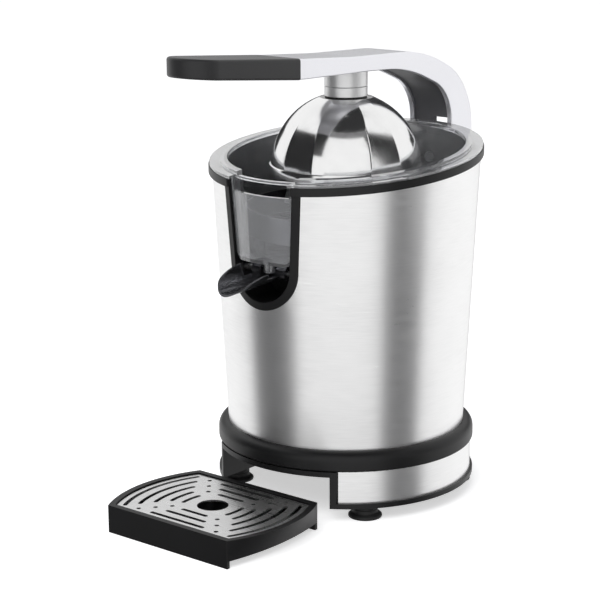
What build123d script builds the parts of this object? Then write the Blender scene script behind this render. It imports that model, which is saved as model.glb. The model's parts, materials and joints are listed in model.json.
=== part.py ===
from build123d import *
import os
from math import asin, atan2, cos, degrees, pi, radians, sin, sqrt, tan

# Lever citrus press. Millimetres, +Z up, front at -Y, hinge at the back (+Y).
# The origin is on the axis of the body, on the counter that the feet stand on.

# Fits
FIT = 0.05                # running fit of pins, shafts and bushes, on the radius
SEAT = 0.05               # gap between curved pieces that sit on each other
CLEAR = 0.4               # gap between moulded pieces that only lie side by side
FAR = 400.0               # reach of the cutting shapes, past any side of the object

# Base with its tray bay
FOOT_R = 11.0
FOOT_NECK_R = 8.2
FOOT_CUP = 3.6            # height of the spread rubber cup
BASE_LOW = 8.9
LIP_R = 85.8
LIP_H = 3.3
BAND_R = 84.0
BAND_T = 0.8
BAND_H = 21.1
BASE_WALL = 3.0
BAY_HALF = 46.4
BAY_ROOF = 29.9
BAY_BACK = 50.0           # y of the bay's rear wall
BAY_FRAME = 3.4           # black margin between the bay and the steel band
FOOT_X = 56.0
FOOT_Y = 48.0
FLANGE_R = 85.7
FLANGE_IN_R = 72.0
FLANGE_H = 12.7
FLANGE_ROUND = 6.0
FLANGE_EDGE = 1.5
FLOOR_T = 3.0
BASE_SCREW_X = 74.5
BASE_SCREW_Y = 14.0
BASE_SCREW_BITE = 8.0     # thread length in the flange
SCREW_R = 1.9
SCREW_HEAD_R = 3.5
SCREW_HEAD_H = 2.2
SCREW_POST_R = 5.0
GLAND_R = 4.5
GLAND_BORE_R = 3.1
GLAND_FLANGE_R = 7.0
GLAND_FLANGE_T = 2.5
GLAND_Z = 22.7

# Body, slanted down towards the front at its top
SLANT = 5.87              # degrees
SLEEVE_LOW_R = 79.0
SLEEVE_TOP_R = 87.8
SLEEVE_TOP = 219.6        # on the axis
SLEEVE_T = 0.8
CORE_T = 2.5
RIM_PROUD = 2.2           # rim beyond the sleeve
RIM_R = SLEEVE_TOP_R + RIM_PROUD
RIM_H = 5.3
RIM_W = 7.4
RIM_IN_R = RIM_R - RIM_W
NOTCH_HALF = 31.4         # half width of the notch trim where it meets the rim
NOTCH_TAPER = 0.0686      # how much narrower each side gets per millimetre down
NOTCH_BOTTOM = 134.5
TRIM_W = 5.2
TRIM_PROUD = 1.0
TRIM_DEPTH = 3.3
ALCOVE_DEPTH = 26.69      # from the sleeve's surface to the wall behind the spout
ALCOVE_T = 2.5
DECK_HIGH = 164.2
DECK_T = 3.0

# Bowl and strainer
BOWL_T = 2.0
BOWL_GAP = 0.8            # between the bowl's wall and the rim
BOWL_TAPER = 4.4
BOWL_TOP_R = RIM_IN_R - BOWL_GAP
BOWL_LOW_R = BOWL_TOP_R - BOWL_TAPER
BOWL_FLANGE_SET = 0.6     # flange's edge inside the rim's
BOWL_FLANGE_R = RIM_R - BOWL_FLANGE_SET
BOWL_FLANGE_T = 1.7
BOWL_LIP_W = 2.6
BOWL_LIP_H = 1.6
POCKET_SET = 1.2          # pocket front, behind the sleeve's surface
POCKET_CORNER = 6.0
POCKET_DROP = 9.5         # pocket's front edge, under the flange
POCKET_BAR_W = 2.4        # bar that carries the flange over the pocket
TUBE_R = 11.0
TUBE_H = 22.0
LEDGE_T = 3.0
LEDGE_H = 7.8
LEDGE_GAP = 20.0          # half width of the opening in the ledge for the juice
NOZZLE_OUT = 17.0         # in front of the alcove's back wall
NOZZLE_R = 3.8
NOZZLE_BORE_R = 2.4
NOZZLE_H = 6.5
STRAINER_GAP = 9.0        # between the strainer and the bowl's wall
STRAINER_R = BOWL_LOW_R - BOWL_T - STRAINER_GAP
STRAINER_T = 1.4
STRAINER_H = 17.0
STRAINER_COLLAR_R = 16.4
STRAINER_COLLAR_H = 9.0
STRAINER_SLOTS = 30
STRAINER_SLOT_W = 2.0
STRAINER_SLOT_IN = 26.0
STRAINER_SLOT_MARGIN = 8.0
STRAINER_SLOT_OUT = STRAINER_R - STRAINER_SLOT_MARGIN
LEDGE_SET = 3.0           # ledge's edge inside the strainer's
LEDGE_R = STRAINER_R - LEDGE_SET

# Spout
SPOUT_R = 12.2
SPOUT_T = 1.2
SPOUT_LIP_OUT = 60.0      # these four are in front of the alcove's back wall
SPOUT_BEND_OUT = 48.0     # a point on the curved rim, between the lip and the step
SPOUT_STEP_OUT = 31.5     # the walls are low behind this, to pass under the pocket
SPOUT_BACK_OUT = 9.0
SPOUT_LIP_Z = 150.2
SPOUT_BEND_Z = 157.8
SPOUT_STEP_Z = 162.0
SPOUT_REAR_Z = 156.7
SPOUT_ROLL = 10.0         # degrees, the rim is lower on its right side
SPOUT_FALL = 3.0          # degrees
SPOUT_AXIS_Z = 161.7      # height of the trough's axis at the lip
SPOUT_PIN_OUT = 15.0
SPOUT_PIN_Z = 158.2
SPOUT_PIN_R = 2.0
SPOUT_EAR_R = 4.5
SPOUT_EAR_IN = 6.5
SPOUT_EAR_OUT = 14.0
SPOUT_PIN_BITE = 1.6      # how deep the pins sit in the alcove's walls

# Drive: spindle on the axis, motor behind it, idler between them
SPINDLE_R = 4.0
SPINDLE_LOW = 111.2
SPINDLE_TOP = 206.2
DRIVE_SQUARE = 5.4
DRIVE_LOW = 194.2
HUB_R = 8.5
HUB_BORE_R = 6.0
HUB_SET = 3.0             # hub's end below the top of the bowl's tube
HUB_SKIRT = 10.0          # hub length below the deck
BUSH_H = 8.0
SEAL_H = 4.0
PRESS = 3.0               # travel of the spindle when fruit is pressed
PLATE_R = 66.0
PLATE_LOW = 102.2
PLATE_T = 2.5
COVER_R = 64.0
COVER_T = 2.5
COVER_H = 30.5
POST_R = 4.0
POSTS = [(44.0, -34.0), (-44.0, -34.0), (46.0, 31.0), (-46.0, 31.0)]
POST_SCREW_BITE = 12.0
GEAR_MODULE_1 = 1.0       # motor pinion and idler wheel
GEAR_MODULE_2 = 1.25      # idler pinion and output wheel
PINION_TEETH = 10
WHEEL_TEETH = 52
IDLER_PINION_TEETH = 14
OUTPUT_TEETH = 40
WHEEL_RISE = 3.0          # idler wheel above the plate
WHEEL_T = 7.0
OUTPUT_LOW = 119.2
OUTPUT_T = 7.0
GEAR_HUB_R = 6.2
IDLER_AXLE_R = 3.0
MOTOR_Y = 45.0
MOTOR_R = 24.0
MOTOR_SHELL_T = 2.4
MOTOR_H = 59.0
MOTOR_CAP_T = 3.0
MOTOR_CAP_SKIRT = 26.0
STACK_H = 32.0
STACK_BORE_R = 15.2
AIR_GAP = 0.4
WINDING_H = 7.0
WINDING_T = 6.0
SHAFT_R = 2.5
SHAFT_BUSH_R = 5.0
CUP_R = 6.2
CUP_RIM = 5.0
CUP_FLOOR = 2.5
CUP_STEM_R = 3.6
CUP_STEM_H = 13.5
SWITCH_L = 20.0
SWITCH_W = 6.4
SWITCH_H = 12.0
SWITCH_TOP = 90.2
SWITCH_KNOB_R = 1.5
SWITCH_KNOB_H = 1.7
BRACKET_T = 1.6
BRACKET_TAB = 12.0

# Reamer
REAMER_R = 38.0
REAMER_LOW = 192.2
REAMER_TOP = 241.2
REAMER_T = 3.0
REAMER_HUB_R = 14.0
REAMER_SKIRT = 10.0
REAMER_RIBS = 4           # plates through the axis, two ribs each
REAMER_RIB_T = 3.4
REAMER_RIB_H = 2.6
REAMER_TIP_R = 4.0
REAMER_BULGE = 0.64       # where the side passes, as a share of radius and height

# Hinge at the back
HINGE_REACH = 15.3        # hinge behind the sleeve
HINGE_Y = SLEEVE_TOP_R + HINGE_REACH
HINGE_Z = 220.2
HINGE_PIN_R = 4.0
LUG_HALF = 12.0
LUG_LOW = 195.2
WASHER_R = 8.0
BRACKET_SCREW_X = 7.0
BRACKET_SCREW_ZS = [201.2, 212.2]
BRACKET_SCREW_L = 11.0

# Arm
ARM_HALF = 18.0
ARM_CHEEK = 3.8
ARM_FRONT = -66.0
ARM_DEPTH_BACK = 24.3     # front to back, at the upright part
ARM_TOP_BEND = 43.1       # these two bends are in front of the hinge
ARM_UNDER_BEND = 60.6
ARM_TOP = [
    (ARM_FRONT, 292.8), (-15.0, 289.5), (HINGE_Y - ARM_TOP_BEND, 287.5),
    (HINGE_Y + ARM_DEPTH_BACK / 2, 262.4),
]
ARM_TOP_R = [300.0, 120.0, 51.0]
ARM_UNDER = [
    (ARM_FRONT, 279.7), (0.0, 278.8), (HINGE_Y - ARM_UNDER_BEND, 277.2),
    (HINGE_Y - ARM_DEPTH_BACK / 2, 257.2),
]
ARM_UNDER_R = [300.0, 120.0, 30.0]
FORK_TOP = 238.2          # the two cheeks stand free below this height
RECESS_FRONT = 24.0
RECESS_DEPTH = 6.0
LINER_SET = 1.6           # liner's face below the edges of the cheeks
LINER_FIN_EDGE = 2.0      # the fin reaches from the left cheek to here
LINER_FIN_Z = 234.2
LINER_FIN_DEPTH = 5.0
TONGUE_HALF = 11.0
TONGUE_T = 6.0
TONGUE_L = 74.0
GRIP_HALF = 18.5
GRIP_T = 13.4
GRIP_TIP_T = 12.0
GRIP_FRONT = -155.8
GRIP_RISE = 7.9           # grip's tip above its root
GRIP_EDGE = 1.8

# Boss and hood
BOSS_R = 14.05
BOSS_LOW = 268.6
BOSS_SEAM = 0.2
BOSS_CAVITY_R = 7.0
BOSS_CAVITY_LOW = 271.2
BOSS_CAVITY_H = 5.0
HOOD_PIN_R = 4.0
HOOD_PIN_HEAD_R = 6.5
HOOD_PIN_HEAD_H = 3.0
HOOD_NECK = 261.2
GASKET_T = 1.0
GASKET_R = 13.6
HOOD_R = 49.8
HOOD_RISE = 51.4          # half height of the ellipse that the dome follows
HOOD_LOW = 209.2
HOOD_WIDEST = 213.2       # height of the ellipse's centre
HOOD_RIM_H = 8.6
HOOD_RIM_PROUD = 0.7
HOOD_T = 1.6
HOOD_PANELS = 5           # wide panels, with a narrow one beside each
HOOD_NARROW = 26.0        # degrees
HOOD_TURN = -103.0         # degrees, where the first narrow panel starts
HOOD_CROWN = 0.9          # of the wide panels: 1 is round, 0 is flat
HOOD_NARROW_CROWN = 0.1
HOOD_HOLLOW_AT = 0.7      # share of the rise where the hollow's curve is set
HOOD_SECTIONS = 7
NUT_R = 7.0
NUT_H = 4.5

# Tray, standing in front of the bay
TRAY_Y = -131.07
TRAY_YAW = 1.6            # degrees, it stands a little askew
TRAY_HALF_W = 49.9        # half length of the straight walls
TRAY_HALF_D = 43.0
TRAY_H = 18.1
TRAY_BELLY_LOW = 4.7
TRAY_BELLY_IN = 6.0       # how far the rounded sides lean in at the bottom
TRAY_WALL = 2.5
TRAY_RIM = 4.4
TRAY_FLOOR_T = 2.5
GRID_T = 1.2
GRID_SET = 1.0            # grid's top below the rim
GRID_HOLE_R = 10.0
GRID_SLOT_W = 2.9
GRID_PITCH = 8.2
GRID_FIRST = 18.9         # first slot from the centre
GRID_ARC_HALVES = [7.0, 9.4, 17.5, 25.8, 33.8]
GRID_ROWS = [(17.0, 10.8), (25.0, 16.6), (33.0, 22.4)]
GRID_DOTS = [(19.0, 16.9), (25.8, 25.0), (32.5, 33.2)]
GRID_DOT_R = 1.5

# Worked out from the sizes above
BAND_LOW = BASE_LOW + LIP_H
BAND_HIGH = BAND_LOW + BAND_H
SLEEVE_LOW = BAND_HIGH + FLANGE_H
SPOUT_UP = (SPOUT_PIN_Z - SLEEVE_LOW) / (SLEEVE_TOP - SLEEVE_LOW)
SPOUT_BODY_R = SLEEVE_LOW_R + (SLEEVE_TOP_R - SLEEVE_LOW_R) * SPOUT_UP      # sleeve at the spout's height
ALCOVE_BACK = ALCOVE_DEPTH - SPOUT_BODY_R      # y of the wall behind the spout
NOZZLE_Y = ALCOVE_BACK - NOZZLE_OUT
SPOUT_LIP_Y = ALCOVE_BACK - SPOUT_LIP_OUT
SPOUT_BEND_Y = ALCOVE_BACK - SPOUT_BEND_OUT
SPOUT_STEP_Y = ALCOVE_BACK - SPOUT_STEP_OUT
SPOUT_BACK_Y = ALCOVE_BACK - SPOUT_BACK_OUT
SPOUT_PIN_Y = ALCOVE_BACK - SPOUT_PIN_OUT
HUB_TOP = DECK_HIGH + TUBE_H - HUB_SET
RIM_LOW = SLEEVE_TOP
RIM_HIGH = RIM_LOW + RIM_H
BOWL_FLANGE_TOP = RIM_HIGH + BOWL_FLANGE_T
BOWL_FLOOR = DECK_HIGH + BOWL_T
STRAINER_LOW = BOWL_FLOOR + LEDGE_H
PLATE_TOP = PLATE_LOW + PLATE_T
COVER_TOP = PLATE_TOP + COVER_H
WHEEL_LOW = PLATE_TOP + WHEEL_RISE
CORE_SET = SLEEVE_T + SEAT
NOTCH_TOP = RIM_LOW - RIM_R * tan(radians(SLANT))
GRID_TOP = TRAY_H - GRID_SET
GRID_LOW = GRID_TOP - GRID_T
TRAY_SIDE_R = LIP_R       # the rounded sides continue the base's outline
PINION_R = GEAR_MODULE_1 * PINION_TEETH / 2
WHEEL_R = GEAR_MODULE_1 * WHEEL_TEETH / 2
IDLER_PINION_R = GEAR_MODULE_2 * IDLER_PINION_TEETH / 2
OUTPUT_R = GEAR_MODULE_2 * OUTPUT_TEETH / 2
MOTOR_REACH = PINION_R + WHEEL_R
SPINDLE_REACH = IDLER_PINION_R + OUTPUT_R
IDLER_Y = (SPINDLE_REACH**2 - MOTOR_REACH**2 + MOTOR_Y**2) / (2 * MOTOR_Y)
IDLER_X = sqrt(SPINDLE_REACH**2 - IDLER_Y**2)
MOTOR = (0.0, MOTOR_Y)
IDLER = (IDLER_X, IDLER_Y)


# Shared shapes

def disc(radius, low, high, at=(0, 0)):
    """Upright cylinder between two heights."""
    rod = Cylinder(radius, high - low, align=(Align.CENTER, Align.CENTER, Align.MIN))
    return Pos(at[0], at[1], low) * rod


def ring(inner, outer, low, high, at=(0, 0)):
    """Upright tube between two heights."""
    return disc(outer, low, high, at) - disc(inner, low, high, at)


def block(x0, x1, y0, y1, z0, z1):
    """Box between two corners."""
    return Pos((x0 + x1) / 2, (y0 + y1) / 2, (z0 + z1) / 2) * Box(x1 - x0, y1 - y0, z1 - z0)


def frustum(low_r, high_r, low, high):
    """Upright cone between two heights."""
    cone = Cone(low_r, high_r, high - low, align=(Align.CENTER, Align.CENTER, Align.MIN))
    return Pos(0, 0, low) * cone


def rod_x(radius, x0, x1, y, z):
    """Cylinder along X."""
    return Pos((x0 + x1) / 2, y, z) * Rot(0, 90, 0) * Cylinder(radius, x1 - x0)


def rod_y(radius, y0, y1, x, z):
    """Cylinder along Y."""
    return Pos(x, (y0 + y1) / 2, z) * Rot(90, 0, 0) * Cylinder(radius, y1 - y0)


def side_prism(outline, x0, x1):
    """Outline of (y, z) points or edges, carried from x0 to x1."""
    return extrude(Plane.YZ.offset(x0) * make_face(outline), x1 - x0)


def front_prism(outline, y0, y1):
    """Outline of (x, z) points or edges, carried from y0 to y1."""
    return extrude(Plane.XZ.offset(-y1) * make_face(outline), y1 - y0)


def turned(points):
    """Body turned about the vertical axis from (radius, z) points."""
    return revolve(Plane.XZ * make_face(Polyline(*points, close=True)), Axis.Z)


def slanted(low, high):
    """Slab between two slanted planes, given by their heights on the axis."""
    fall = FAR * tan(radians(SLANT))
    corners = [(-FAR, low - fall), (FAR, low + fall), (FAR, high + fall), (-FAR, high - fall)]
    return side_prism(Polyline(*corners, close=True), -FAR, FAR)


def below(height):
    """Everything under a slanted plane."""
    return slanted(height - FAR, height)


def body_radius(z):
    """Radius of the tapered body at a height."""
    return SLEEVE_LOW_R + (z - SLEEVE_LOW) * (SLEEVE_TOP_R - SLEEVE_LOW_R) / (SLEEVE_TOP - SLEEVE_LOW)


def body_cone(inset):
    """The tapered body, moved inwards by an inset and past its slanted top."""
    high = SLEEVE_TOP + RIM_R / 2
    return frustum(SLEEVE_LOW_R - inset, body_radius(high) - inset, SLEEVE_LOW, high)


def notch_half(z, inset):
    """Half width of the front notch at a height."""
    return NOTCH_HALF - inset - (NOTCH_TOP - z) * NOTCH_TAPER


def notch_prism(inset, bottom, corner, y0, y1):
    """Front notch with rounded lower corners, open at its top."""
    spring = bottom + corner
    side = notch_half(spring, inset)
    top = (notch_half(FAR, inset), FAR)
    bend = corner * (1 - sqrt(0.5))
    edges = [
        Line((-top[0], FAR), top),
        Line(top, (side, spring)),
        ThreePointArc((side, spring), (side - bend, bottom + bend), (side - corner, bottom)),
        ThreePointArc((corner - side, bottom), (bend - side, bottom + bend), (-side, spring)),
        Line((-side, spring), (-top[0], FAR)),
    ]
    if side - corner > FIT:
        edges.append(Line((side - corner, bottom), (corner - side, bottom)))
    return front_prism(edges, y0, y1)


def notch_corner(inset):
    """Radius of the notch's half-round bottom."""
    return notch_half(NOTCH_BOTTOM + inset, inset) / (1 - NOTCH_TAPER)


def round_notch(inset, y0, y1):
    """Front notch with a half-round bottom."""
    return notch_prism(inset, NOTCH_BOTTOM + inset, notch_corner(inset), y0, y1)


def screw(x, y, seat, length, up):
    """Pan-head screw along Z: its shank goes up (1) or down (-1) from the seat."""
    head = sorted((seat, seat - up * SCREW_HEAD_H))
    shank = sorted((seat, seat + up * length))
    return disc(SCREW_HEAD_R, *head, (x, y)) + disc(SCREW_R, *shank, (x, y))


def gear(teeth, module, low, high, at, bore, tooth_at):
    """Spur wheel with straight-sided teeth, one of them at the angle tooth_at."""
    pitch_r = module * teeth / 2
    step = 2 * pi / teeth
    root_r = pitch_r - 1.2 * module
    tip_r = pitch_r + 0.85 * module
    corners = [(root_r, -0.29), (tip_r, -0.10), (tip_r, 0.10), (root_r, 0.29)]
    points = []
    for tooth in range(teeth):
        for radius, share in corners:
            angle = tooth_at + (tooth + share) * step
            points.append((at[0] + radius * cos(angle), at[1] + radius * sin(angle)))
    wheel = extrude(Plane.XY.offset(low) * make_face(Polyline(*points, close=True)), high - low)
    return wheel - disc(bore, low, high, at)


def angle_to(a, b):
    """Plan angle from one point to another."""
    return atan2(b[1] - a[1], b[0] - a[0])


# Base

def tray_bay():
    """Bay under the body, open to the front and to the counter."""
    return block(-BAY_HALF, BAY_HALF, -FAR, BAY_BACK, 0, BAY_ROOF)


def base_screw_spots():
    """The four screws that hold the base to the flange."""
    return [(sx * BASE_SCREW_X, sy * BASE_SCREW_Y) for sx in (-1, 1) for sy in (-1, 1)]


def make_base_shell():
    """Moulded base: lip, wall, bay walls and screw posts, hollow from above."""
    wall_r = BAND_R - BAND_T - SEAT
    frame_half = BAY_HALF + BAY_FRAME
    shell = disc(wall_r, BASE_LOW, BAND_HIGH) + disc(LIP_R, BASE_LOW, BAND_LOW)
    shell += disc(LIP_R, BASE_LOW, BAND_HIGH) & block(-frame_half, frame_half, -FAR, 0, 0, FAR)
    hollow = disc(wall_r - BASE_WALL, BAND_LOW, BAND_HIGH)
    hollow -= block(
        -BAY_HALF - BASE_WALL, BAY_HALF + BASE_WALL, -FAR, BAY_BACK + BASE_WALL, 0, FAR
    )
    for spot in base_screw_spots():
        hollow -= disc(SCREW_POST_R, BASE_LOW, BAND_HIGH, spot)
    shell = shell - hollow - tray_bay()
    for spot in base_screw_spots():
        shell -= disc(SCREW_R + SEAT, BASE_LOW, BAND_HIGH, spot)
        shell -= disc(SCREW_HEAD_R + SEAT, BASE_LOW, BASE_LOW + SCREW_HEAD_H, spot)
    return shell - rod_y(GLAND_R, BAY_BACK + BASE_WALL, FAR, 0, GLAND_Z)


def make_base_band():
    """Steel band round the base, open at the bay."""
    frame_half = BAY_HALF + BAY_FRAME + SEAT
    band = ring(BAND_R - BAND_T, BAND_R, BAND_LOW, BAND_HIGH)
    band -= block(-frame_half, frame_half, -FAR, 0, 0, FAR)
    return band - rod_y(GLAND_R, 0, FAR, 0, GLAND_Z)


def make_base_flange():
    """Rounded shoulder that the body stands on."""
    flange = disc(FLANGE_R, BAND_HIGH, SLEEVE_LOW)
    flange = fillet(flange.edges().sort_by(Axis.Z)[-1], FLANGE_ROUND)
    flange = fillet(flange.edges().sort_by(Axis.Z)[0], FLANGE_EDGE)
    flange -= disc(FLANGE_IN_R, BAND_HIGH, SLEEVE_LOW)
    for spot in base_screw_spots():
        flange -= disc(SCREW_R, BAND_HIGH, BAND_HIGH + BASE_SCREW_BITE, spot)
    return flange


def make_rubber_feet():
    """Four rubber feet, each a neck with a spread cup."""
    profile = [
        (0, 0), (FOOT_R, 0), (FOOT_R, FOOT_CUP / 2), (FOOT_NECK_R, FOOT_CUP),
        (FOOT_NECK_R, BASE_LOW), (0, BASE_LOW),
    ]
    foot = turned(profile)
    return [Pos(sx * FOOT_X, sy * FOOT_Y, 0) * foot for sx in (-1, 1) for sy in (-1, 1)]


def make_base_screws():
    """Screws from under the base up into the flange."""
    seat = BASE_LOW + SCREW_HEAD_H
    length = BAND_HIGH + BASE_SCREW_BITE - seat
    return [screw(x, y, seat, length, 1) for x, y in base_screw_spots()]


def make_floor_plate():
    """Floor of the body, on the roof of the bay."""
    return disc(FLANGE_IN_R - CLEAR, BAND_HIGH, BAND_HIGH + FLOOR_T)


def make_cord_gland():
    """Rubber grommet for the mains lead at the back of the base."""
    out = sqrt(BAND_R**2 - GLAND_R**2) + SEAT
    barrel = rod_y(GLAND_R, BAND_R - BAND_T - BASE_WALL - GLAND_FLANGE_T, BAND_R, 0, GLAND_Z)
    head = rod_y(GLAND_FLANGE_R, out, BAND_R + GLAND_FLANGE_T, 0, GLAND_Z)
    head -= disc(BAND_R + SEAT, 0, SLEEVE_LOW)
    bore = rod_y(GLAND_BORE_R, 0, FAR, 0, GLAND_Z)
    return barrel + head - bore


# Body

def bracket_window():
    """Opening in the sleeve for the hinge bracket."""
    return block(
        -LUG_HALF - CLEAR, LUG_HALF + CLEAR, 0, FAR, LUG_LOW - CLEAR, HINGE_Z + CLEAR
    )


def make_body_sleeve():
    """Brushed steel sleeve with its front notch."""
    sleeve = (body_cone(0) - body_cone(SLEEVE_T)) & below(RIM_LOW)
    return sleeve - round_notch(-SEAT, -FAR, 0) - bracket_window()


def make_rim_trim():
    """Black rim on the sleeve, with the U frame of the notch."""
    rim = ring(RIM_IN_R, RIM_R, SLEEVE_LOW, FAR) & slanted(RIM_LOW, RIM_HIGH)
    frame = (body_cone(-TRIM_PROUD) - body_cone(TRIM_DEPTH)) & below(RIM_HIGH)
    frame &= round_notch(0, -FAR, 0)
    return rim + frame - round_notch(TRIM_W, -FAR, 0)


def alcove(inset, back):
    """Space behind the notch, down to a wall at the back."""
    return round_notch(TRIM_W - inset, -FAR, back)


def make_spout_pins():
    """The two pins of the spout, from its ears out into the alcove's walls."""
    spring = NOTCH_BOTTOM + TRIM_W + notch_corner(TRIM_W)
    wall = sqrt(notch_corner(TRIM_W)**2 - (spring - SPOUT_PIN_Z)**2)
    ends = (SPOUT_EAR_IN, wall + SPOUT_PIN_BITE)
    return [
        rod_x(SPOUT_PIN_R, *sorted(s * end for end in ends), SPOUT_PIN_Y, SPOUT_PIN_Z)
        for s in (-1, 1)
    ]


def make_body_core():
    """Moulded inner body: wall, deck with its spindle hub, and the spout's alcove."""
    cone = body_cone(CORE_SET)
    wall = (cone - body_cone(CORE_SET + CORE_T)) & below(RIM_LOW)
    deck_low = DECK_HIGH - DECK_T
    deck = cone & disc(FAR, deck_low, DECK_HIGH)
    shell = cone & alcove(ALCOVE_T, ALCOVE_BACK + ALCOVE_T) & disc(FAR, SLEEVE_LOW, DECK_HIGH)
    core = wall + deck + shell + disc(HUB_R, deck_low - HUB_SKIRT, HUB_TOP)
    core -= alcove(0, ALCOVE_BACK)
    core -= round_notch(-SEAT, -FAR, 0) - body_cone(TRIM_DEPTH + SEAT)
    core -= disc(HUB_BORE_R, 0, HUB_TOP)
    for pin in make_spout_pins():
        core -= pin
    for x, z in bracket_screw_spots():
        core -= rod_y(SCREW_R + SEAT, 0, FAR, x, z)
    return core


# Bowl

def make_juice_bowl():
    """Clear bowl with its flange, front pocket, centre tube and nozzle."""
    high = BOWL_FLANGE_TOP + RIM_R / 2
    lip_top = BOWL_FLANGE_TOP + BOWL_LIP_H
    outer = frustum(BOWL_LOW_R, BOWL_TOP_R, DECK_HIGH, high)
    inner = frustum(BOWL_LOW_R - BOWL_T, BOWL_TOP_R - BOWL_T, BOWL_FLOOR, high)
    pocket = notch_prism(TRIM_W + CLEAR, DECK_HIGH, POCKET_CORNER, -FAR, ALCOVE_BACK)
    pocket &= body_cone(POCKET_SET)
    pocket_in = notch_prism(
        TRIM_W + CLEAR + BOWL_T, BOWL_FLOOR, POCKET_CORNER - BOWL_T, -FAR, ALCOVE_BACK
    )
    mouth = pocket_in & slanted(BOWL_FLANGE_TOP - POCKET_DROP, FAR)
    pocket_in &= body_cone(POCKET_SET + BOWL_T)
    bar = ring(BOWL_TOP_R, BOWL_TOP_R + POCKET_BAR_W, DECK_HIGH, FAR)
    bar &= slanted(RIM_HIGH, BOWL_FLANGE_TOP)
    flange = disc(BOWL_FLANGE_R, DECK_HIGH, FAR) & slanted(RIM_HIGH, BOWL_FLANGE_TOP)
    lip = disc(BOWL_TOP_R + BOWL_LIP_W - BOWL_T, DECK_HIGH, FAR) & slanted(RIM_HIGH, lip_top)
    bowl = ((outer + pocket) & below(BOWL_FLANGE_TOP)) + flange + lip
    bowl = bowl - inner - (pocket_in + mouth - bar)
    ledge = ring(LEDGE_R - LEDGE_T, LEDGE_R, BOWL_FLOOR, STRAINER_LOW)
    ledge -= block(-LEDGE_GAP, LEDGE_GAP, -FAR, 0, 0, FAR)
    bowl = bowl + ledge + disc(TUBE_R, DECK_HIGH, DECK_HIGH + TUBE_H)
    bowl += disc(NOZZLE_R, DECK_HIGH - NOZZLE_H, DECK_HIGH, (0, NOZZLE_Y))
    bowl -= disc(NOZZLE_BORE_R, 0, BOWL_FLOOR, (0, NOZZLE_Y))
    return bowl - disc(HUB_R + CLEAR, 0, FAR)


def make_strainer():
    """Steel strainer dish with radial slots."""
    top = STRAINER_LOW + STRAINER_H
    dish = disc(STRAINER_R, STRAINER_LOW, top) - disc(
        STRAINER_R - STRAINER_T, STRAINER_LOW + STRAINER_T, top
    )
    dish += disc(STRAINER_COLLAR_R, STRAINER_LOW, STRAINER_LOW + STRAINER_COLLAR_H)
    dish -= disc(STRAINER_COLLAR_R - STRAINER_T, STRAINER_LOW, top)
    half = STRAINER_SLOT_W / 2
    slot = block(STRAINER_SLOT_IN, STRAINER_SLOT_OUT, -half, half, 0, top)
    slots = [Rot(0, 0, 360 / STRAINER_SLOTS * i) * slot for i in range(STRAINER_SLOTS)]
    return dish - slots


# Spout

def make_pouring_spout():
    """Scoop-shaped trough with a rounded lip, tilting on two pins."""
    length = SPOUT_BACK_Y - SPOUT_LIP_Y
    low = SPOUT_AXIS_Z - 2 * SPOUT_R
    place = Pos(0, SPOUT_LIP_Y, SPOUT_AXIS_Z) * Rot(SPOUT_FALL, 0, 0) * Rot(90, 0, 0)
    full = place * Cylinder(SPOUT_R, 3 * length)
    trough = full - place * Cylinder(SPOUT_R - SPOUT_T, 3 * length)
    trough += full & block(-FAR, FAR, SPOUT_BACK_Y - SPOUT_T, SPOUT_BACK_Y, 0, FAR)
    nose_y = SPOUT_LIP_Y + SPOUT_R
    plan = disc(SPOUT_R, low, FAR, (0, nose_y))
    plan += block(-SPOUT_R, SPOUT_R, nose_y, SPOUT_BACK_Y, low, FAR)
    lip = (SPOUT_LIP_Y, SPOUT_LIP_Z)
    step = (SPOUT_STEP_Y, SPOUT_STEP_Z)
    rim = [
        ThreePointArc(lip, (SPOUT_BEND_Y, SPOUT_BEND_Z), step),
        Polyline(step, (SPOUT_STEP_Y, low), (SPOUT_LIP_Y, low), lip),
    ]
    roll = Pos(0, 0, SPOUT_PIN_Z) * Rot(0, SPOUT_ROLL, 0) * Pos(0, 0, -SPOUT_PIN_Z)
    front = roll * side_prism(rim, -2 * SPOUT_R, 2 * SPOUT_R)
    rear = block(-SPOUT_R, SPOUT_R, SPOUT_STEP_Y, SPOUT_BACK_Y, low, SPOUT_REAR_Z)
    spout = trough & plan & (front + rear)
    for s in (-1, 1):
        ends = sorted((s * SPOUT_EAR_IN, s * SPOUT_EAR_OUT))
        spout += rod_x(SPOUT_EAR_R, *ends, SPOUT_PIN_Y, SPOUT_PIN_Z)
    return spout - rod_x(SPOUT_PIN_R + FIT, -FAR, FAR, SPOUT_PIN_Y, SPOUT_PIN_Z)


# Drive

def make_plate_posts():
    """Four posts that carry the gear plate."""
    low = BAND_HIGH + FLOOR_T
    return [
        disc(POST_R, low, PLATE_LOW, spot)
        - disc(SCREW_R, PLATE_LOW - POST_SCREW_BITE, PLATE_LOW, spot)
        for spot in POSTS
    ]


def make_gear_plate():
    """Steel plate between the motor and the gears."""
    plate = disc(PLATE_R, PLATE_LOW, PLATE_TOP)
    plate -= disc(CUP_STEM_R + FIT, PLATE_LOW, PLATE_TOP)
    plate -= disc(SHAFT_BUSH_R, PLATE_LOW, PLATE_TOP, MOTOR)
    plate -= disc(IDLER_AXLE_R, PLATE_LOW, PLATE_TOP, IDLER)
    for spot in POSTS:
        plate -= disc(SCREW_R, PLATE_LOW, PLATE_TOP, spot)
    return plate


def make_plate_screws():
    """Screws through the gear plate into its posts."""
    length = PLATE_T + POST_SCREW_BITE
    return [screw(x, y, PLATE_TOP, length, -1) for x, y in POSTS]


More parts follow.
